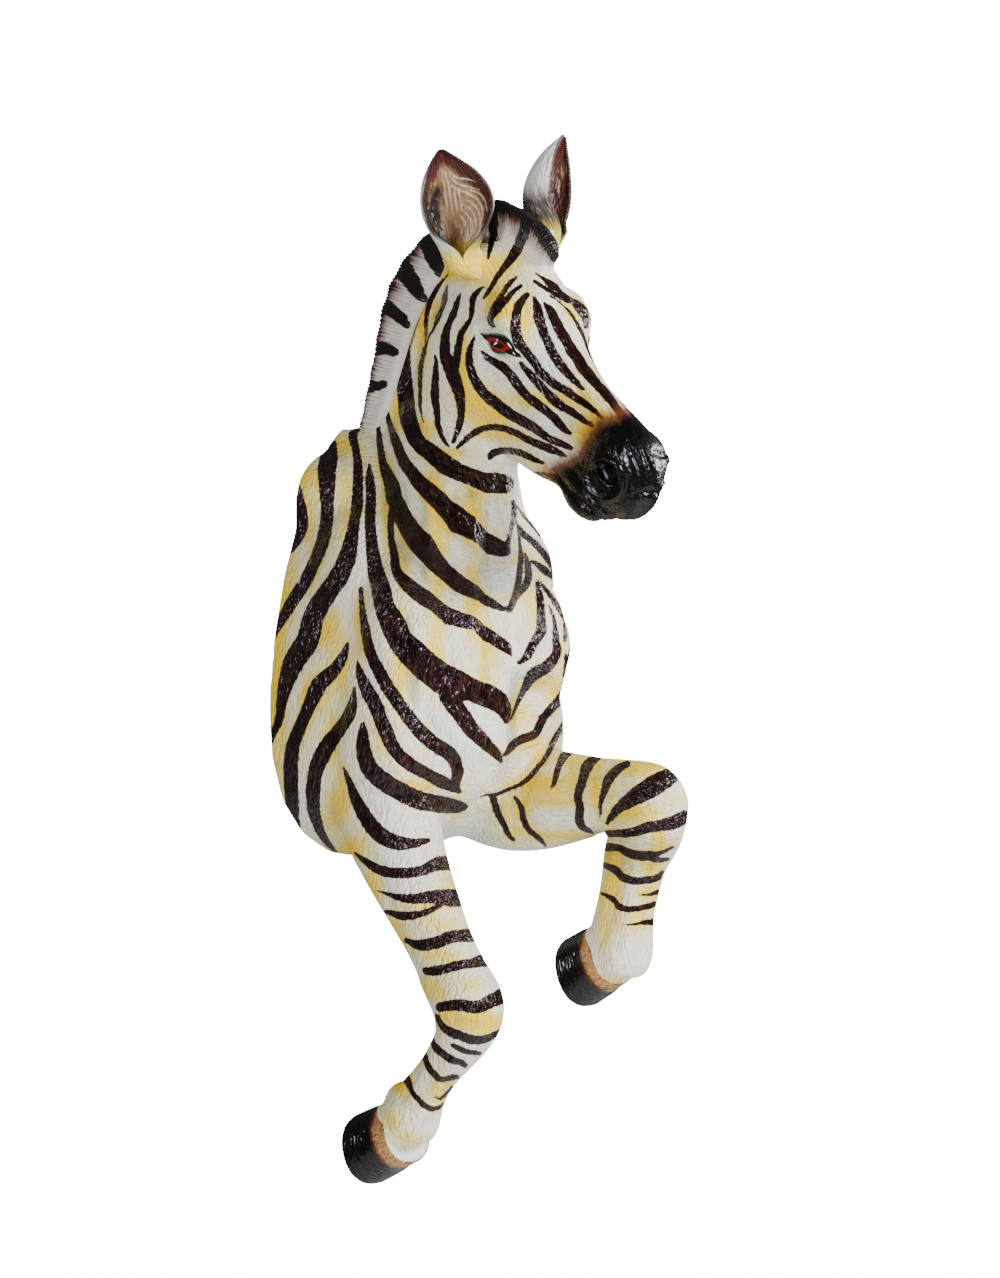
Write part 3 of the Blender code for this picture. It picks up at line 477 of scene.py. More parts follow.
def carved(strokes):
    """Ridges and grooves as heights in metres."""
    sheet = np.zeros(SHEET_SHAPE, np.float32)
    for height, stroke in strokes:
        smooth = through(stroke)
        reach = 3 * smooth[:, 2].max()
        part, x, y = window(smooth[:, 0], smooth[:, 1], reach, reach)
        nearest = np.full((y.shape[0], x.shape[1]), FAR)
        for start, end in zip(smooth, smooth[1:]):
            away, half = stroke_distance(x, y, start, end)
            nearest = np.minimum(nearest, away / half)
        sheet[part] += height / 1000 * np.exp(-(nearest**2))
    return sheet


def read_sheet(sheet, points):
    """The sheet's value where the photograph shows each point."""
    x, y, _ = in_photo(points)
    column = np.clip((x - SHEET_LEFT) / SHEET_STEP, 0, SHEET_SHAPE[1] - 1.001)
    row = np.clip((y - SHEET_TOP) / SHEET_STEP, 0, SHEET_SHAPE[0] - 1.001)
    left, top = column.astype(int), row.astype(int)
    across, down = column - left, row - top
    upper = sheet[top, left] * (1 - across) + sheet[top, left + 1] * across
    lower = sheet[top + 1, left] * (1 - across) + sheet[top + 1, left + 1] * across
    return upper * (1 - down) + lower * down


def face_places(points):
    """Points in the head's own axes from the poll: along the face, above it and aside to the right."""
    away = points - POLL
    return away @ FACE_ALONG, away @ FACE_ABOVE, away @ FACE_ASIDE


def head_share(points):
    """From 0 on the body to 1 on the head."""
    along, above, _ = face_places(points)
    return ramp(along, -0.07, 0.02) * ramp(above, -0.37, -0.29)


def other_side(points, directions=None):
    """The places that lie opposite on the zebra, and directions there."""
    share = head_share(points)[:, None]

    def mirrored(vectors, middle):
        body = vectors * (-1, 1, 1)
        head = vectors - 2 * ((vectors - middle) @ FACE_ASIDE)[:, None] * FACE_ASIDE
        return body * (1 - share) + head * share

    there = mirrored(points, POLL)
    return there if directions is None else (there, mirrored(directions, np.zeros(3)))


cad_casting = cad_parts["zebra_casting"]
skin_clay = bmesh.new()
skin_clay.from_mesh(cad_casting.data)
bmesh.ops.remove_doubles(skin_clay, verts=skin_clay.verts, dist=1e-5)
clay_mesh = bpy.data.meshes.new("clay")
skin_clay.to_mesh(clay_mesh)
skin_clay.free()
clay_object = bpy.data.objects.new("clay", clay_mesh)
bpy.context.scene.collection.objects.link(clay_object)
blend_step = clay_object.modifiers.new("fine grain", "REMESH")
blend_step.mode = "VOXEL"
blend_step.voxel_size = SKIN_GRAIN
smooth_step = clay_object.modifiers.new("smooth", "SMOOTH")
smooth_step.factor = 0.5
smooth_step.iterations = SKIN_ROUNDS
bpy.context.view_layer.update()
skin_mesh = bpy.data.meshes.new_from_object(
    clay_object.evaluated_get(bpy.context.evaluated_depsgraph_get())
)
bpy.data.objects.remove(clay_object)
bpy.data.meshes.remove(clay_mesh)


def rows_of(things, field, columns=3, kind=np.float32):
    """What a mesh's vertices, normals or edges hold in a field, one row for each."""
    values = np.zeros(len(things) * columns, kind)
    things.foreach_get(field, values)
    return values.reshape(-1, columns).astype(kind if kind is np.int32 else float)


def spread(values, edges, rounds):
    """Values evened out over neighbouring vertices."""
    counts = np.bincount(edges.ravel(), minlength=len(values)).astype(float)
    for _ in range(rounds):
        total = np.bincount(edges[:, 0], values[edges[:, 1]], len(values))
        total += np.bincount(edges[:, 1], values[edges[:, 0]], len(values))
        values = 0.4 * values + 0.6 * total / np.maximum(counts, 1)
    return values


fine_sheet = puffed(FINE_PLACES)
rough_points = rows_of(skin_mesh.vertices, "co")
fine_share = read_sheet(fine_sheet, rough_points)
fine_share = np.maximum(fine_share, read_sheet(fine_sheet, other_side(rough_points)))
fine_vertices = (fine_share > FINE_SHARE) & (head_share(rough_points) > 0.9)
fine_clay = bmesh.new()
fine_clay.from_mesh(skin_mesh)
fine_clay.verts.ensure_lookup_table()
fine_edges = [edge for edge in fine_clay.edges if all(fine_vertices[vert.index] for vert in edge.verts)]
bmesh.ops.subdivide_edges(fine_clay, edges=fine_edges, cuts=1, use_grid_fill=True)
bmesh.ops.triangulate(fine_clay, faces=[f for f in fine_clay.faces if len(f.verts) > 4])
fine_clay.to_mesh(skin_mesh)
fine_clay.free()

skin_points = rows_of(skin_mesh.vertices, "co")
skin_edges = rows_of(skin_mesh.edges, "vertices", 2, np.int32)
skin_normals = rows_of(skin_mesh.vertex_normals, "vector")

# Depth of the nearest skin in the photograph, on cells of DEPTH_CELL pixels
DEPTH_CELL = 3.0
photo_x, photo_y, photo_depth = in_photo(skin_points)
depth_map = np.full((int(PHOTO_TALL / DEPTH_CELL) + 4, int(PHOTO_WIDE / DEPTH_CELL) + 1), FAR)
cells = (photo_y / DEPTH_CELL).astype(int), (photo_x / DEPTH_CELL).astype(int)
np.minimum.at(depth_map, cells, photo_depth)


def shown(points, directions):
    """From 0 to 1, how plainly the photograph shows each point."""
    x, y, depth = in_photo(points)
    nearest = depth_map[(y / DEPTH_CELL).astype(int), (x / DEPTH_CELL).astype(int)]
    towards = np.array(EYE_POINT) - points
    towards /= np.linalg.norm(towards, axis=1)[:, None]
    facing = (directions * towards).sum(1)
    return ramp(facing, 0.0, 0.08) * (1 - ramp(depth - nearest, 0.03, 0.05))


mirror_points, mirror_normals = other_side(skin_points, skin_normals)
shown_here = spread(shown(skin_points, skin_normals), skin_edges, 3)
shown_there = spread(shown(mirror_points, mirror_normals), skin_edges, 3)
# The forelegs are taken straight through, so that their stripes close into rings
side_x, out_y, up_z = skin_points.T
left_leg = ramp(-out_y, 0.26, 0.33) * (1 - ramp(up_z, -0.08, -0.02)) * ramp(side_x, 0.0, 0.03)
right_leg = (1 - ramp(up_z, -0.36, -0.28)) * (1 - ramp(side_x, -0.03, 0.0))
foreleg_share = np.maximum(left_leg, right_leg)
here = np.clip(shown_here + foreleg_share, 0, 1)
here = ramp(np.clip(here + (1 - here) * (1 - shown_there), 0, 1), 0.35, 0.65)


def both_sides(sheet, points=skin_points, opposite=mirror_points, share=here):
    """The sheet read where the photograph shows the point, or else its opposite."""
    return read_sheet(sheet, points) * share + read_sheet(sheet, opposite) * (1 - share)


stripe_sheet = painted(
    HEAD_STRIPES + NECK_STRIPES + TRUNK_STRIPES + LEFT_CHEST_STRIPES
    + LEFT_FORELEG_STRIPES + RIGHT_FORELEG_STRIPES
)
skin_values = {
    "stripe": both_sides(stripe_sheet),
    "muzzle": both_sides(filled(MUZZLE_PATCH)),
    "yellow": both_sides(puffed(YELLOW_PUFFS)),
}
# The flat back, which the wall hides, is left in plain cream
on_wall = ramp(skin_points[:, 1], -0.005, -0.001)
skin_values["stripe"] -= 30 * on_wall
skin_values["yellow"] *= 1 - on_wall
skin_values["sleek"] = np.maximum(ramp(skin_values["muzzle"], -7.0, 3.0), 0.45 * head_share(skin_points))
skin_height = spread(both_sides(carved(CARVING)), skin_edges, 1)
skin_points += skin_normals * skin_height[:, None]

# The ears and hooves are pieces of their own, so the skin ends under them. Ears: root, tip and the way
# the cup opens, in head axes in parts. Hooves: side, coronet and sole, out and up, in parts.
EARS = {
    "right": ((2.6, -3.2, 8.0), (-7.7, 8.9, 11.0), (0.60, 0.62, 0.52)),
    "left": ((3.4, -0.6, -5.0), (-9.6, 9.7, -11.8), (0.57, 0.57, -0.60)),
}
HOOVES = {
    "right": (-1, (19.1, -69.6), (13.2, -71.3)),
    "left": (1, (39.2, -44.4), (34.4, -45.9)),
}
LEG_SIDE = 11.0
FACE_AXES = np.array((FACE_ALONG, FACE_ABOVE, FACE_ASIDE))


def on_head(place):
    """A place in head axes, in parts, as a point in the world."""
    return POLL + np.array(place) * PART @ FACE_AXES


def leg_place(side, place):
    out, up = place
    return np.array((side * LEG_SIDE, -out, up)) * PART


def beside_axis(points, start, end):
    """Share of the way from start to end, and the distance beside that line."""
    run = end - start
    share = (points - start) @ run / (run @ run)
    return share, np.linalg.norm(points - start - share[:, None] * run, axis=1)


# Behind each eye the skin is cut back to a plane through the lids, a little inside their outline
EYE_OUTLINE = (
    (477.5, 332), (483, 334), (490, 333.5), (498, 334), (504, 336.5), (509, 341), (513, 347), (516, 353),
    (518.5, 358.5), (512, 356), (505, 355.5), (497, 355.5), (491, 352), (488, 346), (485, 340), (481, 336),
)


def sight(x, y):
    """The direction in which the photograph looks at one of its pixels."""
    along = LOOK + ASIDE * ((x - PHOTO_WIDE / 2) / FOCAL_PX) + Vector((0, 0, (PHOTO_TALL / 2 - y) / FOCAL_PX))
    return along.normalized()


def skin_tree():
    """The skin as it stands now, for rays."""
    faces = [tuple(face.vertices) for face in skin_mesh.polygons]
    return BVHTree.FromPolygons([tuple(point) for point in skin_points], faces)


# The skin behind the lids is let in by LID_SUNK, and sinks on by LID_HOLLOW towards the ball's middle
LID_SUNK, LID_HOLLOW = 0.0012, 0.0045
EYE_REACH = 0.05
face_tree = skin_tree()
lids = np.array([tuple(face_tree.ray_cast(EYE_POINT, sight(x, y))[0]) for x, y in EYE_OUTLINE])
eye_middle = lids.mean(axis=0)
_, _, lid_axes = np.linalg.svd(lids - eye_middle)
eye_out = lid_axes[2] * -np.sign(lid_axes[2] @ np.array(LOOK))
eye_sheet = filled(EYE_OUTLINE)
for there, near_side in ((skin_points, True), (mirror_points, False)):
    close = np.nonzero(np.linalg.norm(there - eye_middle, axis=1) < EYE_REACH)[0]
    inside = ramp(read_sheet(eye_sheet, there[close]), -3.5, 1.0)
    proud = (there[close] - eye_middle) @ eye_out
    rounded_down = np.minimum(proud, LID_SUNK - LID_HOLLOW * inside)
    push = (proud - rounded_down) * ramp(read_sheet(eye_sheet, there[close]), -9.0, -1.0)
    straight = np.array(eye_out)
    if not near_side:
        _, straight = other_side(eye_middle[None], straight[None])
        straight = straight[0]
    skin_points[close] -= push[:, None] * straight

# The mane is a crest of its own, let into the neck: out and up of its root, out and up of the hair's
# tips, half thickness, in parts. The skin under it is drawn in, so that the crest covers it.
MANE = (
    (4.0, 29.0, -0.4, 30.0, 2.2),
    (8.0, 35.0, 1.5, 36.5, 2.2),
    (11.0, 41.5, 3.4, 43.5, 2.1),
    (14.2, 48.0, 5.3, 50.9, 2.0),
    (19.0, 53.5, 9.1, 56.7, 2.0),
    (25.0, 57.0, 17.0, 61.8, 2.0),
    (31.0, 57.0, 27.0, 64.4, 2.0),
    (35.2, 55.6, 34.0, 62.2, 1.9),
    (37.4, 54.2, 38.6, 59.0, 1.6),
    (38.8, 53.2, 41.5, 55.6, 1.1),
)
near_crest = np.nonzero((abs(skin_points[:, 0]) < 0.05) & (skin_points[:, 2] > 0.27))[0]
crest_out, crest_up = -skin_points[near_crest, 1], skin_points[near_crest, 2]
crest_beside = np.full(len(near_crest), 9.0)
crest_share = np.zeros(len(near_crest))
for root_out, root_up, tip_out, tip_up, _ in through(MANE, 20) * PART:
    run_out, run_up = tip_out - root_out, tip_up - root_up
    share = ((crest_out - root_out) * run_out + (crest_up - root_up) * run_up) / (run_out**2 + run_up**2)
    beside = np.hypot(crest_out - root_out - share * run_out, crest_up - root_up - share * run_up)
    closer = beside < crest_beside
    crest_beside[closer], crest_share[closer] = beside[closer], share[closer]
crest_flank = abs(skin_points[near_crest, 0])
inside_crest = ramp(crest_share, 0.16, 0.36) * (crest_beside < 0.012) * (1 - ramp(crest_flank, 0.028, 0.045))
skin_points[near_crest, 0] *= 1 - 0.5 * inside_crest
skin_points[near_crest, 2] -= 0.012 * inside_crest * ramp(crest_share, 0.7, 1.0)

# Round the ears' roots the skin is melted together, so that the ears grow out of it
melting = np.zeros(len(skin_points))
for root, _, _ in EARS.values():
    away = np.linalg.norm(skin_points - on_head(root), axis=1)
    melting = np.maximum(melting, 1 - ramp(away, 0.030, 0.060))
for _ in range(12):
    for axis in range(3):
        melted = spread(skin_points[:, axis], skin_edges, 4)
        skin_points[:, axis] += (melted - skin_points[:, axis]) * melting

# The skin ends where an ear's foot covers it: all of it above a share of the ear's length, what lies near
# the ear's axis, and what is as thin as the ear's cast wall
EAR_FOOT_REACH, EAR_SIDE_REACH, EAR_WHOLE_REACH = 0.024, 0.062, 0.085
THIN_WALL = 0.014
dropped = np.zeros(len(skin_points), bool)
head_tree = skin_tree()
for root, tip, _ in EARS.values():
    share, beside = beside_axis(skin_points, on_head(root), on_head(tip))
    reach = np.where(share > 0.08, EAR_WHOLE_REACH, EAR_FOOT_REACH)
    covered = (share > 0.24) | (beside < EAR_FOOT_REACH) | (share > 0.12) & (beside < EAR_SIDE_REACH)
    for i in np.nonzero((share > 0.0) & (beside < reach))[0]:
        inward = Vector(-skin_normals[i])
        start = Vector(skin_points[i]) + inward * 0.0005
        thin = head_tree.ray_cast(start, inward, THIN_WALL)[0] is not None
        dropped[i] |= thin or covered[i]
for side, coronet, sole in HOOVES.values():
    share, beside = beside_axis(skin_points, leg_place(side, coronet), leg_place(side, sole))
    dropped |= (share > 0.1) & (beside < 0.075)

# Every face as four corners; a triangle repeats its last one
skin_faces = np.array([(*f.vertices, f.vertices[-1])[:4] for f in skin_mesh.polygons])
skin_faces = skin_faces[~dropped[skin_faces].any(axis=1)]
face_middles = skin_points[skin_faces].mean(axis=1)
in_head = head_share(face_middles) > 0.5
in_neck = ~in_head & (face_middles[:, 2] > 0.10)
in_legs = ~in_head & (face_middles[:, 2] < -0.16)
in_trunk = ~(in_head | in_neck | in_legs)


def new_piece(name, points, faces, material, values, normals=None):
    """A mesh object in its paint, with the paint's values kept on the vertices."""
    mesh = bpy.data.meshes.new(name)
    corners = [tuple(dict.fromkeys(int(i) for i in face)) for face in faces]
    mesh.from_pydata(points.tolist(), [], corners)
    mesh.update()
    mesh.materials.append(material)
    mesh.polygons.foreach_set("use_smooth", [True] * len(mesh.polygons))
    for value_name, array in values.items():
        kind, field = ("FLOAT", "value") if array.ndim == 1 else ("FLOAT_VECTOR", "vector")
        attribute = mesh.attributes.new(value_name, kind, "POINT")
        attribute.data.foreach_set(field, array.astype(np.float32).ravel())
    if normals is not None:
        mesh.normals_split_custom_set_from_vertices([tuple(n) for n in normals])
    made = bpy.data.objects.new(name, mesh)
    bpy.context.scene.collection.objects.link(made)
    return made


def lying(points, along, about, at=None):
    """Places measured across and along the hair, about a point where both frames agree."""
    along = np.array(along, float) / np.linalg.norm(along)
    across = np.cross(along, (0.0, 1.0, 0.2))
    across /= np.linalg.norm(across)
    frame_axes = np.stack((across, np.cross(along, across), along), axis=1)
    return (points - about) @ frame_axes + (0 if at is None else at)


# The hair runs down the body, along the face, and out along the raised forearm
DOWN = (0.0, 0.25, -1.0)
NAPE = np.array((0.0, -0.24, 0.50))
ELBOW = np.array((0.11, -0.20, -0.20))
FOREARM = (0.0, -1.0, -0.05)
hair_places = lying(skin_points, DOWN, np.zeros(3))
nape_there = lying(NAPE[None], DOWN, np.zeros(3))
share = head_share(skin_points)[:, None]
hair_places = hair_places * (1 - share) + lying(skin_points, FACE_ALONG, NAPE, nape_there) * share
elbow_there = lying(ELBOW[None], DOWN, np.zeros(3))
share = (left_leg * ramp(up_z, -0.33, -0.26))[:, None]
hair_places = hair_places * (1 - share) + lying(skin_points, FOREARM, ELBOW, elbow_there) * share
skin_values["hair"] = hair_places

skin_points[:, 1] = np.minimum(skin_points[:, 1], -1e-6)
skin_mesh.vertices.foreach_set("co", skin_points.astype(np.float32).ravel())
skin_mesh.update()
skin_normals = rows_of(skin_mesh.vertex_normals, "vector")


def lay(tree, kind, inputs=(), **settings):
    """Adds a node with its settings; inputs holds pairs of a socket's name or number and its value."""
    node = tree.nodes.new(kind)
    for key, value in settings.items():
        setattr(node, key, value)
    for socket, value in inputs:
        if isinstance(value, bpy.types.NodeSocket):
            tree.links.new(value, node.inputs[socket])
        else:
            node.inputs[socket].default_value = value
    return node


def kept(tree, name, output="Fac"):
    """A value kept on the mesh's vertices."""
    return lay(tree, "ShaderNodeAttribute", attribute_name=name).outputs[output]


def sums(tree, operation, *values):
    return lay(tree, "ShaderNodeMath", list(enumerate(values)), operation=operation).outputs[0]


def rise(tree, value, low, high, to_low=0.0, to_high=1.0, smooth=False):
    """A value led from low to high onto to_low to to_high, and held there beyond them."""
    inputs = [("Value", value), ("From Min", low), ("From Max", high)]
    inputs += [("To Min", to_low), ("To Max", to_high)]
    kind = "SMOOTHSTEP" if smooth else "LINEAR"
    return lay(tree, "ShaderNodeMapRange", inputs, interpolation_type=kind).outputs["Result"]


def uneven(tree, value, noise, low, high, swing):
    """A value moved up and down by noise, by as much as the swing."""
    return sums(tree, "ADD", value, rise(tree, noise, low, high, -swing, swing))


def blended(tree, share, under, over):
    """One colour over another, by a share from 0 to 1."""
    inputs = [("Factor", share), ("A", under), ("B", over)]
    return lay(tree, "ShaderNodeMix", inputs, data_type="RGBA").outputs["Result"]


def grey(value):
    return (value, value, value, 1)


def grain(tree, place, scale, stretch=(1, 1, 1), detail=2.0):
    """Smooth noise, drawn out along the axes whose stretch is small."""
    stretched = lay(tree, "ShaderNodeMapping", [("Vector", place), ("Scale", stretch)]).outputs[0]
    inputs = [("Vector", stretched), ("Scale", scale), ("Detail", detail), ("Roughness", 0.55)]
    return lay(tree, "ShaderNodeTexNoise", inputs).outputs["Fac"]


HAIR_RIDGE, HAIR_FINE = -0.0095, 0.0012


def carved_hair_group():
    """Short strokes of carved hair that lie along each place's own direction, as a height in metres."""
    group = bpy.data.node_groups.new("carved_hair", "ShaderNodeTree")
    group.interface.new_socket("Height", in_out="OUTPUT", socket_type="NodeSocketFloat")
    place = kept(group, "hair", "Vector")
    coarse = grain(group, place, 125, (1, 1, 0.36), 1.0)
    ridge = sums(group, "ABSOLUTE", sums(group, "SUBTRACT", coarse, 0.5))
    fine = grain(group, place, 330, (1, 1, 0.3))
    height = sums(group, "MULTIPLY", ridge, HAIR_RIDGE)
    height = sums(group, "MULTIPLY_ADD", fine, HAIR_FINE, height)
    height = sums(group, "MULTIPLY", height, rise(group, kept(group, "sleek"), 0.0, 1.0, 1.0, 0.25))
    lay(group, "NodeGroupOutput", [("Height", height)])
    return group


carved_hair = carved_hair_group()


def relief(tree, shader, group, strength=1.0):
    """Leads a height group through a Bump node into the shader."""
    heights = lay(tree, "ShaderNodeGroup", node_tree=group)
    inputs = [("Strength", strength), ("Distance", 1.0), ("Height", heights.outputs[0])]
    bump = lay(tree, "ShaderNodeBump", inputs)
    tree.links.new(bump.outputs["Normal"], shader.inputs["Normal"])


def new_paint(name, roughness):
    """A material with its node tree and its shader."""
    material = bpy.data.materials.new(name)
    material.use_nodes = True
    shader = material.node_tree.nodes["Principled BSDF"]
    shader.inputs["Roughness"].default_value = roughness
    return material, material.node_tree, shader


CREAM = (0.84, 0.85, 0.74, 1)
LEMON = (0.87, 0.71, 0.19, 1)
GOLD = (0.93, 0.61, 0.002, 1)
GROOVE_SHADE = (0.50, 0.45, 0.34, 1)
STRIPE_BLACK = (0.006, 0.0022, 0.0022, 1)
STRIPE_RED = (0.034, 0.009, 0.008, 1)
MUZZLE_BLACK = (0.002, 0.0015, 0.0015, 1)
MUZZLE_BROWN = (0.15, 0.045, 0.016, 1)


def coat_paint():
    material, tree, shader = new_paint("painted_zebra_coat", 0.45)
    shader.inputs["Specular IOR Level"].default_value = 0.35
    shader.inputs["Specular Tint"].default_value = (0.88, 0.86, 1.0, 1)
    place = kept(tree, "hair", "Vector")
    hair = grain(tree, place, 230, (1, 1, 0.17))
    spots = grain(tree, place, 120)
    clouds = grain(tree, place, 14, (1, 1, 0.4))
    beside_stripe = rise(tree, kept(tree, "stripe"), -13.0, -1.0)
    wash = sums(tree, "MULTIPLY", beside_stripe, rise(tree, clouds, 0.41, 0.64, 0.0, 0.62))
    wash = sums(tree, "ADD", wash, sums(tree, "MULTIPLY", kept(tree, "yellow"), 1.25))
    wash = sums(tree, "MULTIPLY", wash, rise(tree, hair, 0.25, 0.75, 1.25, 0.85))
    colour = blended(tree, rise(tree, wash, 0.0, 0.8), CREAM, LEMON)
    colour = blended(tree, rise(tree, wash, 0.6, 1.4), colour, GOLD)
    colour = blended(tree, rise(tree, hair, 0.56, 0.78, 0.0, 0.42), colour, GROOVE_SHADE)
    wobble = uneven(tree, rise(tree, hair, 0.2, 0.8, -0.6, 0.6), spots, 0.2, 0.8, 0.6)
    stripe = rise(tree, sums(tree, "ADD", kept(tree, "stripe"), wobble), -0.45, 0.45)
    dark = blended(tree, rise(tree, hair, 0.45, 0.75), STRIPE_BLACK, STRIPE_RED)
    colour = blended(tree, stripe, colour, dark)
    snout = sums(tree, "ADD", kept(tree, "muzzle"), sums(tree, "MULTIPLY", wobble, 3.2))
    colour = blended(tree, rise(tree, snout, -14.0, -1.0, 0.0, 0.95), colour, MUZZLE_BROWN)
    nose = rise(tree, snout, -4.0, 10.0, smooth=True)
    colour = blended(tree, nose, colour, MUZZLE_BLACK)
    tree.links.new(colour, shader.inputs["Base Color"])
    rough = blended(tree, stripe, grey(0.45), grey(0.20))
    rough = blended(tree, nose, rough, grey(0.27))
    tree.links.new(rough, shader.inputs["Roughness"])
    relief(tree, shader, carved_hair)
    return material


coat_material = coat_paint()
for piece_name, chosen in (
    ("head_coat", in_head), ("neck_coat", in_neck), ("trunk_coat", in_trunk), ("foreleg_coat", in_legs)
):
    used, numbers = np.unique(skin_faces[chosen], return_inverse=True)
    values = {key: array[used] for key, array in skin_values.items()}
    faces = numbers.reshape(-1, 4)
    piece = new_piece(piece_name, skin_points[used], faces, coat_material, values, skin_normals[used])
    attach(piece, "root")
    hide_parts("zebra_casting")

# ======== Eyes ========
# Each eye is part of the casting: a flattened ball between carved lids, painted black round a red iris
# with a black pupil, under a hard gloss varnish. Its white catch light is a painted highlight.
EYE_MIDDLE = np.array((498.5, 345.0))
EYE_IRIS = (
    (488.5, 337), (495, 337), (500, 338.5), (504.5, 341.5), (508.5, 345), (511, 348.5), (508, 350),
    (503, 350.5), (498, 349.5), (493.5, 347.5), (490.5, 343.5),
)
EYE_PUPIL = (((494.5, 342.5, 2.2), (499, 343.8, 3.1), (504, 345.8, 2.3)),)
# A painted highlight: white strokes for the catch light on the ball
EYE_PAINTED_HIGHLIGHT = (((496.8, 343.6, 0.7), (498.8, 341.9, 1.0)), ((498.2, 338.4, 0.4), (499.8, 339.6, 0.5)))
EYE_RINGS, EYE_ROUND = 26, 72
EYE_BULGE = 0.0062
EYE_SUNK = 0.0012
EYE_EDGE_SUNK = 0.004
IRIS_RED, IRIS_DEEP_RED = (0.44, 0.012, 0.005, 1), (0.14, 0.004, 0.004, 1)
EYE_BLACK = (0.004, 0.003, 0.003, 1)


def grid_faces(rows, columns, closed=False, caps=0):
    """Quads between the rows of a grid of points; a closed grid joins its last column to its first. Caps
    of 1 or -1 close the first and last row, facing one way or the other."""
    number = np.arange(rows * columns).reshape(rows, columns)
    ends = [number[0, ::-caps].tolist(), number[-1, ::caps].tolist()] if caps else []
    if closed:
        number = np.hstack((number, number[:, :1]))
    corners = number[:-1, :-1], number[:-1, 1:], number[1:, 1:], number[1:, :-1]
    return np.stack([c.ravel() for c in corners], axis=1).tolist() + ends


outline = through(EYE_OUTLINE + EYE_OUTLINE[:1], 10)
round_share = np.linspace(0, len(outline) - 1, EYE_ROUND, endpoint=False)
outline = np.stack([np.interp(round_share, np.arange(len(outline)), outline[:, i]) for i in range(2)], axis=1)
eye_points, eye_flat = [], []
start = np.array(EYE_POINT)
for ring in np.linspace(0.0, 1.0, EYE_RINGS) ** 0.9:
    proud = EYE_BULGE * math.sqrt(max(0.0, 1 - ring**2)) - EYE_SUNK - EYE_EDGE_SUNK * ring**6
    for x, y in EYE_MIDDLE + (outline - EYE_MIDDLE) * ring:
        along = np.array(sight(x, y))
        flat = start + along * ((eye_middle - start) @ eye_out) / (along @ eye_out)
        eye_flat.append(flat)
        eye_points.append(flat + eye_out * proud)
eye_points, eye_flat = np.array(eye_points), np.array(eye_flat)
eye_values = {
    "iris": read_sheet(filled(EYE_IRIS), eye_flat),
    "pupil": read_sheet(painted(EYE_PUPIL), eye_flat),
    "painted_highlight": read_sheet(painted(EYE_PAINTED_HIGHLIGHT), eye_flat),
    "hair": eye_flat,
}


def eye_paint():
    material, tree, shader = new_paint("painted_eye", 0.12)
    fleck = grain(tree, kept(tree, "hair", "Vector"), 900)
    iris, pupil = (uneven(tree, kept(tree, name), fleck, 0.3, 0.7, 0.5) for name in ("iris", "pupil"))
    red = blended(tree, rise(tree, fleck, 0.35, 0.65), IRIS_RED, IRIS_DEEP_RED)
    colour = blended(tree, rise(tree, iris, -0.3, 0.5), EYE_BLACK, red)
    colour = blended(tree, rise(tree, pupil, -0.6, 0.6), colour, grey(0.003))
    # Painted highlight: the white catch light, laid over all the eye's other colours
    colour = blended(tree, rise(tree, kept(tree, "painted_highlight"), -0.2, 0.3), colour, grey(0.85))
    tree.links.new(colour, shader.inputs["Base Color"])
    shader.inputs["Coat Weight"].default_value = 0.6
    shader.inputs["Coat Roughness"].default_value = 0.05
    return material


eye_material = eye_paint()
eye_faces = grid_faces(EYE_RINGS, EYE_ROUND, closed=True)
for side_name, places in (("right", eye_points), ("left", other_side(eye_points))):
    faces = eye_faces if side_name == "left" else [face[::-1] for face in eye_faces]
    eye = new_piece(side_name + "_eye", places, faces, eye_material, eye_values)
    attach(eye, "root")

# ======== Mane ========
# A thin crest of cast resin along the neck, carved with locks of stiff hair that run from the neck to
# the tips, let into the neck and painted in cream and black bands with red-brown streaks to black tips.
MANE_BANDS = (
    ((426, 240, 9), (433, 256, 8.5), (438, 267, 7), (442, 275, 4)),
    ((402, 268, 10), (411, 281, 9), (418, 292, 6.5), (424, 299, 4)),
    ((381, 303, 9), (390, 309, 7), (400, 317, 6), (407, 325, 4)),
    ((372, 348, 9), (384, 348, 7), (394, 352, 5)),
    ((366, 386, 7), (376, 386, 5.5), (384, 384, 4)),
    ((491, 190, 6), (493, 215, 5.5), (493, 240, 4), (490, 262, 4)),
    ((528, 212, 6), (524, 232, 6), (517, 250, 5), (510, 262, 4)),
    ((533, 214, 6), (545, 232, 10), (556, 250, 10), (560, 262, 6)),
)
LOCK = 0.0058  # width of one lock of hair
LOCK_DEEP = 0.0018
MANE_LONG = 0.085  # about as long as its hair is
MANE_STATIONS, MANE_CLIMB = 640, 40
MANE_CREAM, MANE_SHADE = (0.74, 0.70, 0.64, 1), (0.30, 0.20, 0.17, 1)
MANE_BROWN, MANE_BLACK = (0.11, 0.030, 0.026, 1), (0.006, 0.003, 0.003, 1)
crest = through(MANE, 64) * PART
crest_run = np.concatenate(([0], np.cumsum(np.hypot(np.diff(crest[:, 2]), np.diff(crest[:, 3])))))
stations = np.linspace(0.0, crest_run[-1], MANE_STATIONS)
crest = np.stack([np.interp(stations, crest_run, crest[:, i]) for i in range(5)], axis=1)
climb = 1 - (1 - np.linspace(0.0, 1.0, MANE_CLIMB)) ** 1.7 * 0.97
climb = np.concatenate((climb, climb[::-1]))
flank = np.repeat((-1.0, 1.0), MANE_CLIMB)
along_crest, up_hair = stations[:, None], climb[None, :]
wander = 0.55 * np.sin(along_crest / 0.021 + 1.3) + 0.3 * np.sin(along_crest / 0.0093 + up_hair * 1.2 + flank)
lock = along_crest / LOCK + wander + 0.35 * up_hair
groove = 1 - abs(np.sin(math.pi * lock)) ** 0.6
groove_share = groove * ramp(up_hair, 0.06, 0.3)
carving_depth = LOCK_DEEP * groove_share
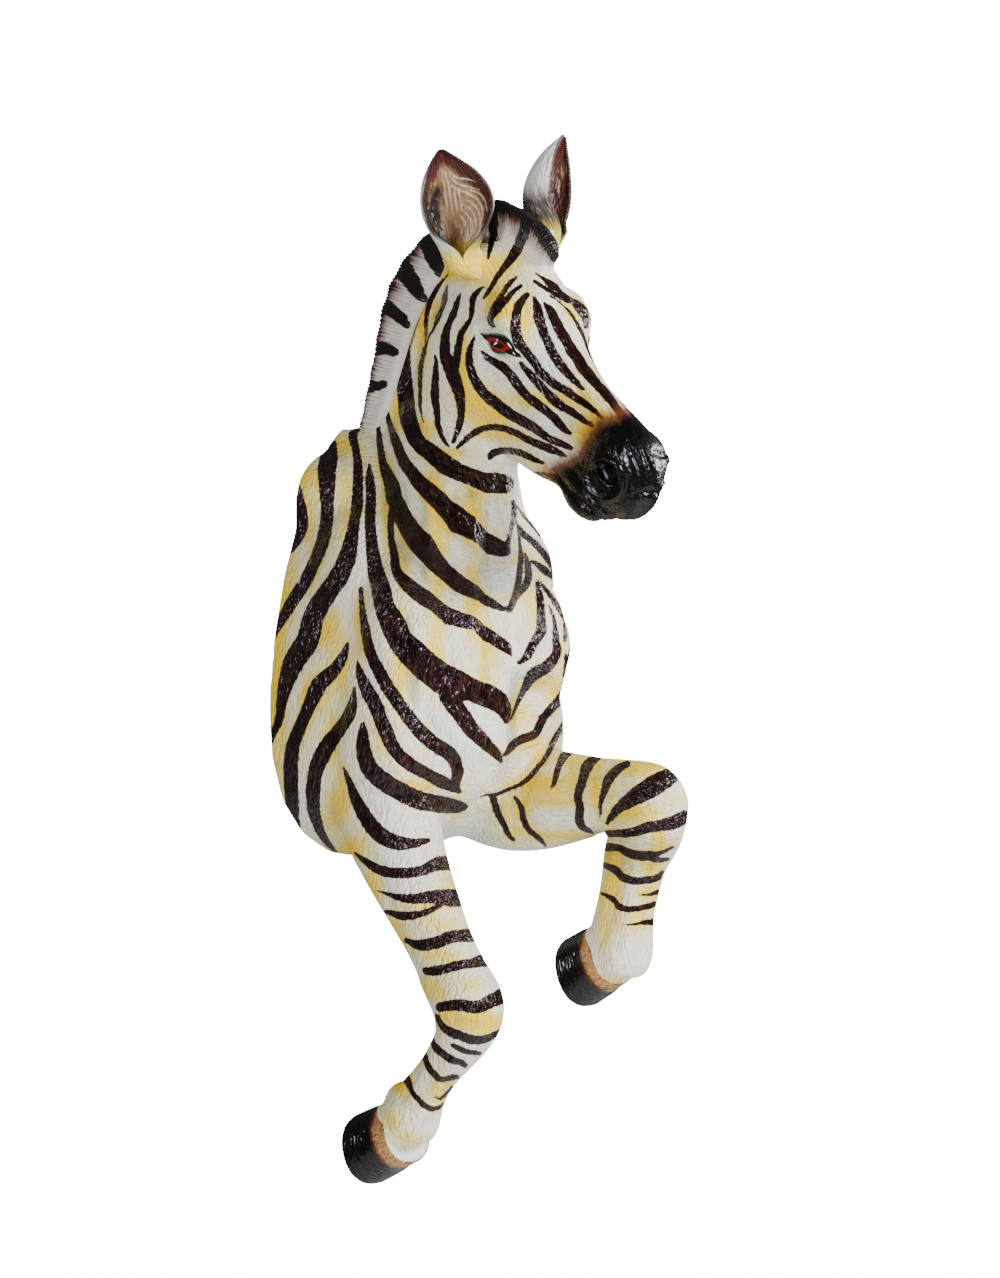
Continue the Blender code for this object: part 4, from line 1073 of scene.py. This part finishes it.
front_end = ramp(along_crest, crest_run[-1] - 0.030, crest_run[-1])
taper = np.sqrt(np.clip(1 - front_end**2, 0.0, 1))
bulge = 2 * up_hair - 1
rounded = np.sign(bulge) * abs(bulge) ** 1.5
half_wide = crest[:, 4:5] * (1 - rounded**2).clip(0.004) ** (1 / 3) * (1 - 0.25 * rounded)
half_wide = (half_wide + 0.0012) * (0.25 + 0.75 * taper) - carving_depth
tip_drop = (0.0014 * groove + 0.0012 * (1 + np.sin(0.83 * lock))) * ramp(up_hair, 0.5, 1.0)
reach = up_hair * (1 - 0.16 * front_end) - tip_drop / 0.08
crest_y = -(crest[:, 0:1] + (crest[:, 2:3] - crest[:, 0:1]) * reach)
crest_z = crest[:, 1:2] + (crest[:, 3:4] - crest[:, 1:2]) * reach
crest_x = flank[None, :] * np.maximum(half_wide, 0.0006)
mane_points = np.stack((crest_x, np.minimum(crest_y, -0.0004), crest_z), axis=-1).reshape(-1, 3)
mane_faces = grid_faces(MANE_STATIONS, 2 * MANE_CLIMB, caps=1)


def on_mane(values):
    """A row or a column of values, repeated over the whole mane."""
    return np.broadcast_to(values, lock.shape).ravel()


mane_here = (mane_points[:, 0] < 0).astype(float)
mane_values = {
    "stripe": both_sides(painted(MANE_BANDS), mane_points, mane_points * (-1, 1, 1), mane_here),
    "tip": on_mane((1 - up_hair) * MANE_LONG),
    "run": on_mane(along_crest / crest_run[-1]),
    "hair": np.stack((on_mane(along_crest), on_mane(flank), on_mane(up_hair * MANE_LONG)), axis=-1),
    "groove": on_mane(groove_share),
}


def mane_paint():
    material, tree, shader = new_paint("painted_mane", 0.36)
    place = kept(tree, "hair", "Vector")
    strand = grain(tree, place, 420, (1, 1, 0.05), 1.0)
    lock_shade = grain(tree, place, 150, (1, 1, 0.06), 1.0)
    jitter = uneven(tree, rise(tree, strand, 0.25, 0.75, -0.5, 0.5), lock_shade, 0.25, 0.75, 0.5)
    tips = sums(tree, "SUBTRACT", kept(tree, "tip"), sums(tree, "MULTIPLY", jitter, 0.014))
    solid = rise(tree, kept(tree, "run"), 0.05, 0.95, 0.011, 0.019)
    depth = sums(tree, "DIVIDE", tips, solid)
    shade = sums(tree, "MULTIPLY", kept(tree, "groove"), rise(tree, strand, 0.3, 0.7, 0.4, 0.9))
    colour = blended(tree, shade, MANE_CREAM, MANE_SHADE)
    band = sums(tree, "ADD", kept(tree, "stripe"), sums(tree, "MULTIPLY", jitter, 1.6))
    colour = blended(tree, rise(tree, depth, 3.3, 1.3), colour, MANE_BROWN)
    black = sums(tree, "MAXIMUM", rise(tree, depth, 1.35, 0.95), rise(tree, band, -0.5, 0.5))
    colour = blended(tree, black, colour, MANE_BLACK)
    tree.links.new(colour, shader.inputs["Base Color"])
    relief(tree, shader, carved_hair, 0.4)
    return material


mane = new_piece("mane_crest", mane_points, mane_faces, mane_paint(), mane_values)
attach(mane, "root")

# ======== Ears ========
# Two cupped ears of the same casting, about 16 cm long, standing open towards the front. Outside they are
# cream with yellow feet and painted shade low on the side towards the mane; inside, long curls of pale
# hair are painted on tan, brown and maroon, with a painted shadow deep in the cup.
# Share of the length, half width, half depth and shift towards the other ear, in parts
EAR_SECTIONS = (
    (-0.20, 1.0, 1.0, 3.0),
    (-0.12, 1.8, 1.7, 1.5),
    (-0.06, 2.3, 2.2, 0.5),
    (0.06, 2.6, 2.7, 0.1),
    (0.16, 3.2, 3.2, 0.3),
    (0.28, 4.2, 3.7, 0.6),
    (0.44, 5.2, 4.0, 0.9),
    (0.60, 5.1, 3.4, 0.9),
    (0.76, 4.0, 2.3, 0.6),
    (0.90, 2.1, 1.2, 0.2),
    (1.00, 0.4, 0.5, 0.0),
)
EAR_RINGS = 124
EAR_ARC = 56
EAR_WALL = 0.0052
EAR_EDGE = 0.007  # width of the painted edge
EAR_LONG, EAR_ROUND = 0.16, 0.11
EAR_CREAM, EAR_DUSK = (0.72, 0.72, 0.70, 1), (0.60, 0.57, 0.50, 1)
EAR_FOOT_YELLOW = (0.90, 0.63, 0.05, 1)
EAR_BACK_PAINTED_SHADE, EAR_DARK_EDGE = (0.075, 0.055, 0.048, 1), (0.07, 0.022, 0.018, 1)
EAR_TAN, EAR_BROWN = (0.42, 0.26, 0.13, 1), (0.26, 0.14, 0.07, 1)
EAR_MAROON, EAR_SHADOW_BLACK = (0.070, 0.016, 0.012, 1), (0.014, 0.008, 0.007, 1)
EAR_PALE = (0.80, 0.62, 0.46, 1)


def ear_shape(root, tip, opening, turned):
    """Points of a cupped leaf in rings of an outer arc and an inner arc, and for each of them whether it is
    inside, its share of the ear's length and how near it lies to the leaf's edge."""
    start, end = on_head(root), on_head(tip)
    axis = (end - start) / np.linalg.norm(end - start)
    towards = np.array(opening) @ FACE_AXES
    towards = towards - axis * (towards @ axis)
    towards /= np.linalg.norm(towards)
    across = np.cross(axis, towards) * turned
    table = through(EAR_SECTIONS, 16)
    points, inside, shares, edges = [], [], [], []
    for share in np.linspace(-0.20, 0.995, EAR_RINGS):
        wide = np.interp(share, table[:, 0], table[:, 1]) * PART - 0.0003
        deep = np.interp(share, table[:, 0], table[:, 2]) * PART - 0.0003
        closing = 1 - float(ramp(share, 0.02, 0.34))
        rim = math.radians(22 + 68 * closing)
        wall = min(EAR_WALL, 0.6 * wide, 0.6 * deep)
        fill = float(ramp(share, 0.16, 0.05))
        outer = np.linspace(rim, -math.pi - rim, EAR_ARC)
        middle = start + (end - start) * share
        middle = middle + across * np.interp(share, table[:, 0], table[:, 3]) * PART
        for angle in (*outer, *outer[::-1]):
            hollow = len(points) % (2 * EAR_ARC) >= EAR_ARC
            c, s = math.cos(angle), math.sin(angle) * (1 - 0.15 * closing * max(0.0, math.sin(angle)))
            edge = max(0.0, 1 - wide * min(rim - angle, angle + math.pi + rim) / EAR_EDGE)
            if hollow:
                c, s, edge = c * (1 - 0.6 * fill), s * (1 - fill) + 0.75 * fill, 0.0
            points.append(middle + across * (wide - wall * hollow) * c + towards * (deep - wall * hollow) * s)
            inside.append(float(hollow))
            shares.append(share)
            edges.append(edge)
    return tuple(np.array(values) for values in (points, inside, shares, edges))


# What the right ear shows inside, in the photograph's pixels: shadow, maroon rim and pale curls
EAR_SHADOW = (
    (432, 186), (426, 200), (425, 214), (431, 232), (440, 247), (452, 253), (462, 256), (455, 246),
    (448, 235), (443, 220), (442, 204), (444, 190), (440, 182),
)
EAR_RIM = (
    ((431, 178, 6), (434, 166, 7), (441, 155, 8), (452, 161, 8), (466, 170, 9), (479, 183, 9), (488, 198, 8),
     (488, 214, 6), (483, 228, 4)),
    ((432, 176, 3), (426, 190, 4.5), (425, 203, 5), (427, 218, 4.5), (432, 233, 4), (441, 248, 3)),
)
EAR_CURLS = (
    ((446, 166, 0.3), (451, 173, 0.9), (458, 178, 1.0), (467, 179, 0.9), (476, 182, 0.4)),
    ((447, 172, 0.3), (453, 180, 1.0), (461, 185, 1.1), (470, 187, 0.9), (480, 190, 0.4)),
    ((447, 179, 0.3), (454, 187, 1.0), (462, 191, 1.0), (470, 194, 0.9), (478, 199, 0.4)),
    ((466, 190, 0.3), (473, 191, 0.9), (480, 194, 1.0), (485, 201, 0.9), (487, 211, 0.4)),
    ((466, 195, 0.3), (474, 197, 1.0), (480, 203, 1.0), (483, 212, 0.9), (482, 221, 0.4)),
    ((464, 199, 0.3), (471, 202, 1.0), (477, 209, 1.1), (480, 218, 0.9), (479, 228, 0.4)),
    ((462, 204, 0.3), (469, 208, 1.1), (474, 215, 1.1), (476, 225, 0.9), (474, 235, 0.4)),
    ((460, 209, 0.3), (466, 213, 1.0), (471, 221, 1.1), (472, 231, 1.0), (468, 241, 0.4)),
    ((458, 215, 0.3), (463, 219, 1.0), (467, 227, 1.0), (467, 237, 0.9), (463, 247, 0.4)),
    ((456, 220, 0.3), (460, 226, 0.9), (462, 234, 0.9), (461, 244, 0.4)),
    ((441, 168, 0.3), (444, 179, 0.9), (445, 191, 0.9), (447, 204, 0.8), (450, 218, 0.3)),
    ((444, 170, 0.3), (448, 181, 0.9), (450, 194, 0.9), (452, 208, 0.8), (455, 222, 0.3)),
    ((449, 184, 0.3), (454, 193, 0.9), (456, 203, 0.9), (458, 214, 0.3)),
    ((452, 184, 0.3), (458, 191, 0.9), (461, 200, 0.9), (461, 210, 0.3)),
    ((482, 218, 0.3), (480, 229, 0.9), (475, 239, 1.1), (468, 249, 0.8), (462, 255, 0.3)),
    ((484, 224, 0.3), (481, 235, 0.9), (475, 246, 1.0), (468, 255, 0.4)),
)


def ear_paint():
    material, tree, shader = new_paint("painted_ear", 0.42)
    place = kept(tree, "hair", "Vector")
    hair = grain(tree, place, 420, (1, 1, 0.12))
    clouds = grain(tree, place, 40)
    share = kept(tree, "share")
    low = rise(tree, uneven(tree, share, clouds, 0.3, 0.7, 0.05), 0.46, 0.30)
    foot = rise(tree, uneven(tree, share, hair, 0.3, 0.7, 0.03), 0.19, 0.06)
    rim = rise(tree, uneven(tree, kept(tree, "rim"), hair, 0.25, 0.75, 2.5), -3.0, 3.0)
    hollow = rise(tree, uneven(tree, kept(tree, "shadow"), hair, 0.25, 0.75, 2.5), -3.0, 5.0)
    curl = rise(tree, uneven(tree, kept(tree, "curl"), hair, 0.25, 0.75, 0.5), -0.4, 0.6)
    outside = blended(tree, rise(tree, clouds, 0.4, 0.7), EAR_CREAM, EAR_DUSK)
    # Painted shade: the ear's back darkens towards its foot on the side towards the mane
    outside = blended(tree, sums(tree, "MULTIPLY", low, kept(tree, "mane_side")), outside, EAR_BACK_PAINTED_SHADE)
    edge = sums(tree, "MULTIPLY", rise(tree, kept(tree, "edge"), 0.1, 0.6), rim)
    outside = blended(tree, edge, outside, EAR_DARK_EDGE)
    inner = blended(tree, rise(tree, hair, 0.3, 0.7), EAR_TAN, EAR_BROWN)
    inner = blended(tree, rim, inner, EAR_MAROON)
    # Painted shadow: near black deep in the cup, under the painted curls
    inner = blended(tree, hollow, inner, EAR_SHADOW_BLACK)
    inner = blended(tree, sums(tree, "MULTIPLY", curl, 0.9), inner, EAR_PALE)
    colour = blended(tree, rise(tree, kept(tree, "inside"), 0.4, 0.6), outside, inner)
    colour = blended(tree, foot, colour, EAR_FOOT_YELLOW)
    tree.links.new(colour, shader.inputs["Base Color"])
    relief(tree, shader, carved_hair)
    return material


ear_material = ear_paint()
ear_faces = grid_faces(EAR_RINGS, 2 * EAR_ARC, closed=True, caps=-1)
ear_values = {}
for side_name, (root, tip, opening) in EARS.items():
    turned = 1 if side_name == "right" else -1
    ear_points, ear_inside, ear_shares, ear_edges = ear_shape(root, tip, opening, turned)
    # The left ear takes the right one's paint, point for point
    if side_name == "right":
        turn = np.tile(np.arange(2 * EAR_ARC) / (2 * EAR_ARC), EAR_RINGS)
        round_arc = np.where(turn < 0.5, turn * 2, 2 - turn * 2)
        ear_values = {
            "inside": ear_inside,
            "edge": ear_edges,
            "share": ear_shares,
            "shadow": read_sheet(filled(EAR_SHADOW), ear_points),
            "rim": read_sheet(painted(EAR_RIM), ear_points),
            "curl": read_sheet(painted(EAR_CURLS), ear_points),
            "mane_side": ramp(round_arc, 0.62, 0.40) * (1 - ear_inside),
            "hair": np.stack((round_arc * EAR_ROUND, ear_inside, ear_shares * EAR_LONG), axis=-1),
        }
    ear = new_piece(side_name + "_ear", ear_points, ear_faces, ear_material, ear_values)
    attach(ear, "root")

# ======== Hooves ========
# Two hooves of the same casting, folded back under the fetlocks: glossy black walls with fine growth
# rings, and a rough tan band with fine cracks where the horn meets the hair.
CORONET_RADIUS = 4.8 * PART
SOLE_RADIUS = 5.2 * PART
TOE_REACH = 0.9 * PART
# Share of the way to the sole, and how much the wall swells there
HOOF_SECTIONS = ((-0.45, 0.9), (0.0, 1.0), (0.25, 1.03), (0.5, 1.02), (0.75, 1.01), (0.93, 1.0), (1.0, 0.97))
# The sole: share of the way, and share of the radius. It is hollowed towards its middle.
SOLE_RINGS = ((0.985, 1), (1.0, 0.99), (1.0, 0.90), (1.0, 0.6), (1.0, 0.2))
SOLE_HOLLOW = 0.004
HOOF_SQUARE = 2.2
HOOF_WALL_RINGS, HOOF_ROUND = 70, 112
GROWTH_RINGS, GROWTH_DEEP = 8.5, 0.0007
HORN_TAN, HORN_BROWN = (0.60, 0.36, 0.12, 1), (0.36, 0.15, 0.05, 1)
CRACK_BROWN, BAND_EDGE_RED = (0.10, 0.035, 0.02, 1), (0.09, 0.018, 0.009, 1)
HOOF_BLACK = (0.003, 0.002, 0.002, 1)


def hoof_paint():
    material, tree, shader = new_paint("painted_hoof", 0.2)
    shader.inputs["Specular IOR Level"].default_value = 0.35
    place = kept(tree, "hair", "Vector")
    cloud = grain(tree, place, 120)
    share = uneven(tree, kept(tree, "share"), cloud, 0.3, 0.7, 0.035)
    inputs = [("Vector", place), ("Scale", 330.0)]
    crack = lay(tree, "ShaderNodeTexVoronoi", inputs, feature="DISTANCE_TO_EDGE")
    band = blended(tree, rise(tree, cloud, 0.35, 0.65), HORN_TAN, HORN_BROWN)
    band = blended(tree, rise(tree, crack.outputs["Distance"], 0.10, 0.02), band, CRACK_BROWN)
    colour = blended(tree, rise(tree, share, -0.17, -0.03), band, BAND_EDGE_RED)
    colour = blended(tree, rise(tree, share, -0.08, 0.05), colour, HOOF_BLACK)
    tree.links.new(colour, shader.inputs["Base Color"])
    rough = rise(tree, share, -0.10, 0.05, 0.42, 0.17)
    tree.links.new(rough, shader.inputs["Roughness"])
    relief(tree, shader, carved_hair, 0.35)
    return material


hoof_material = hoof_paint()
hoof_rings = [(share, 1) for share in np.linspace(-0.4, 0.97, HOOF_WALL_RINGS)] + list(SOLE_RINGS)
hoof_faces = grid_faces(len(hoof_rings), HOOF_ROUND, closed=True, caps=1)
angles = np.linspace(0, 2 * math.pi, HOOF_ROUND, endpoint=False)
wide, tall = (np.sign(wave) * abs(wave) ** (2 / HOOF_SQUARE) for wave in (np.cos(angles), np.sin(angles)))
hoof_shares = np.repeat([share for share, _ in hoof_rings], HOOF_ROUND)
round_places = np.tile(angles * 0.05, len(hoof_rings))
hoof_values = {
    "share": hoof_shares,
    "hair": np.stack((hoof_shares * 0.06, hoof_shares * 0, round_places), axis=-1),
}
for side_name, (side, coronet, sole) in HOOVES.items():
    start, end = leg_place(side, coronet), leg_place(side, sole)
    axis = (end - start) / np.linalg.norm(end - start)
    toe = np.cross(axis, (1, 0, 0))
    toe /= np.linalg.norm(toe)
    hoof_points = []
    for share, shrink in hoof_rings:
        radius = (CORONET_RADIUS + (SOLE_RADIUS - CORONET_RADIUS) * max(share, 0))
        radius *= np.interp(share, *zip(*HOOF_SECTIONS))
        growth = GROWTH_DEEP * (1 + math.sin(share * 2 * math.pi * GROWTH_RINGS))
        radius -= growth * float(ramp(share, 0.10, 0.22)) * (share < 0.97) + 0.0003
        middle = start + (end - start) * share + toe * TOE_REACH * max(share, 0)
        ring = middle + radius * shrink * (wide[:, None] * (1, 0, 0) + tall[:, None] * toe)
        hoof_points.append(ring - axis * (SOLE_HOLLOW * (1 - shrink)))
    hoof_points = np.concatenate(hoof_points)
    hoof = new_piece(side_name + "_hoof", hoof_points, hoof_faces, hoof_material, hoof_values)
    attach(hoof, "root")
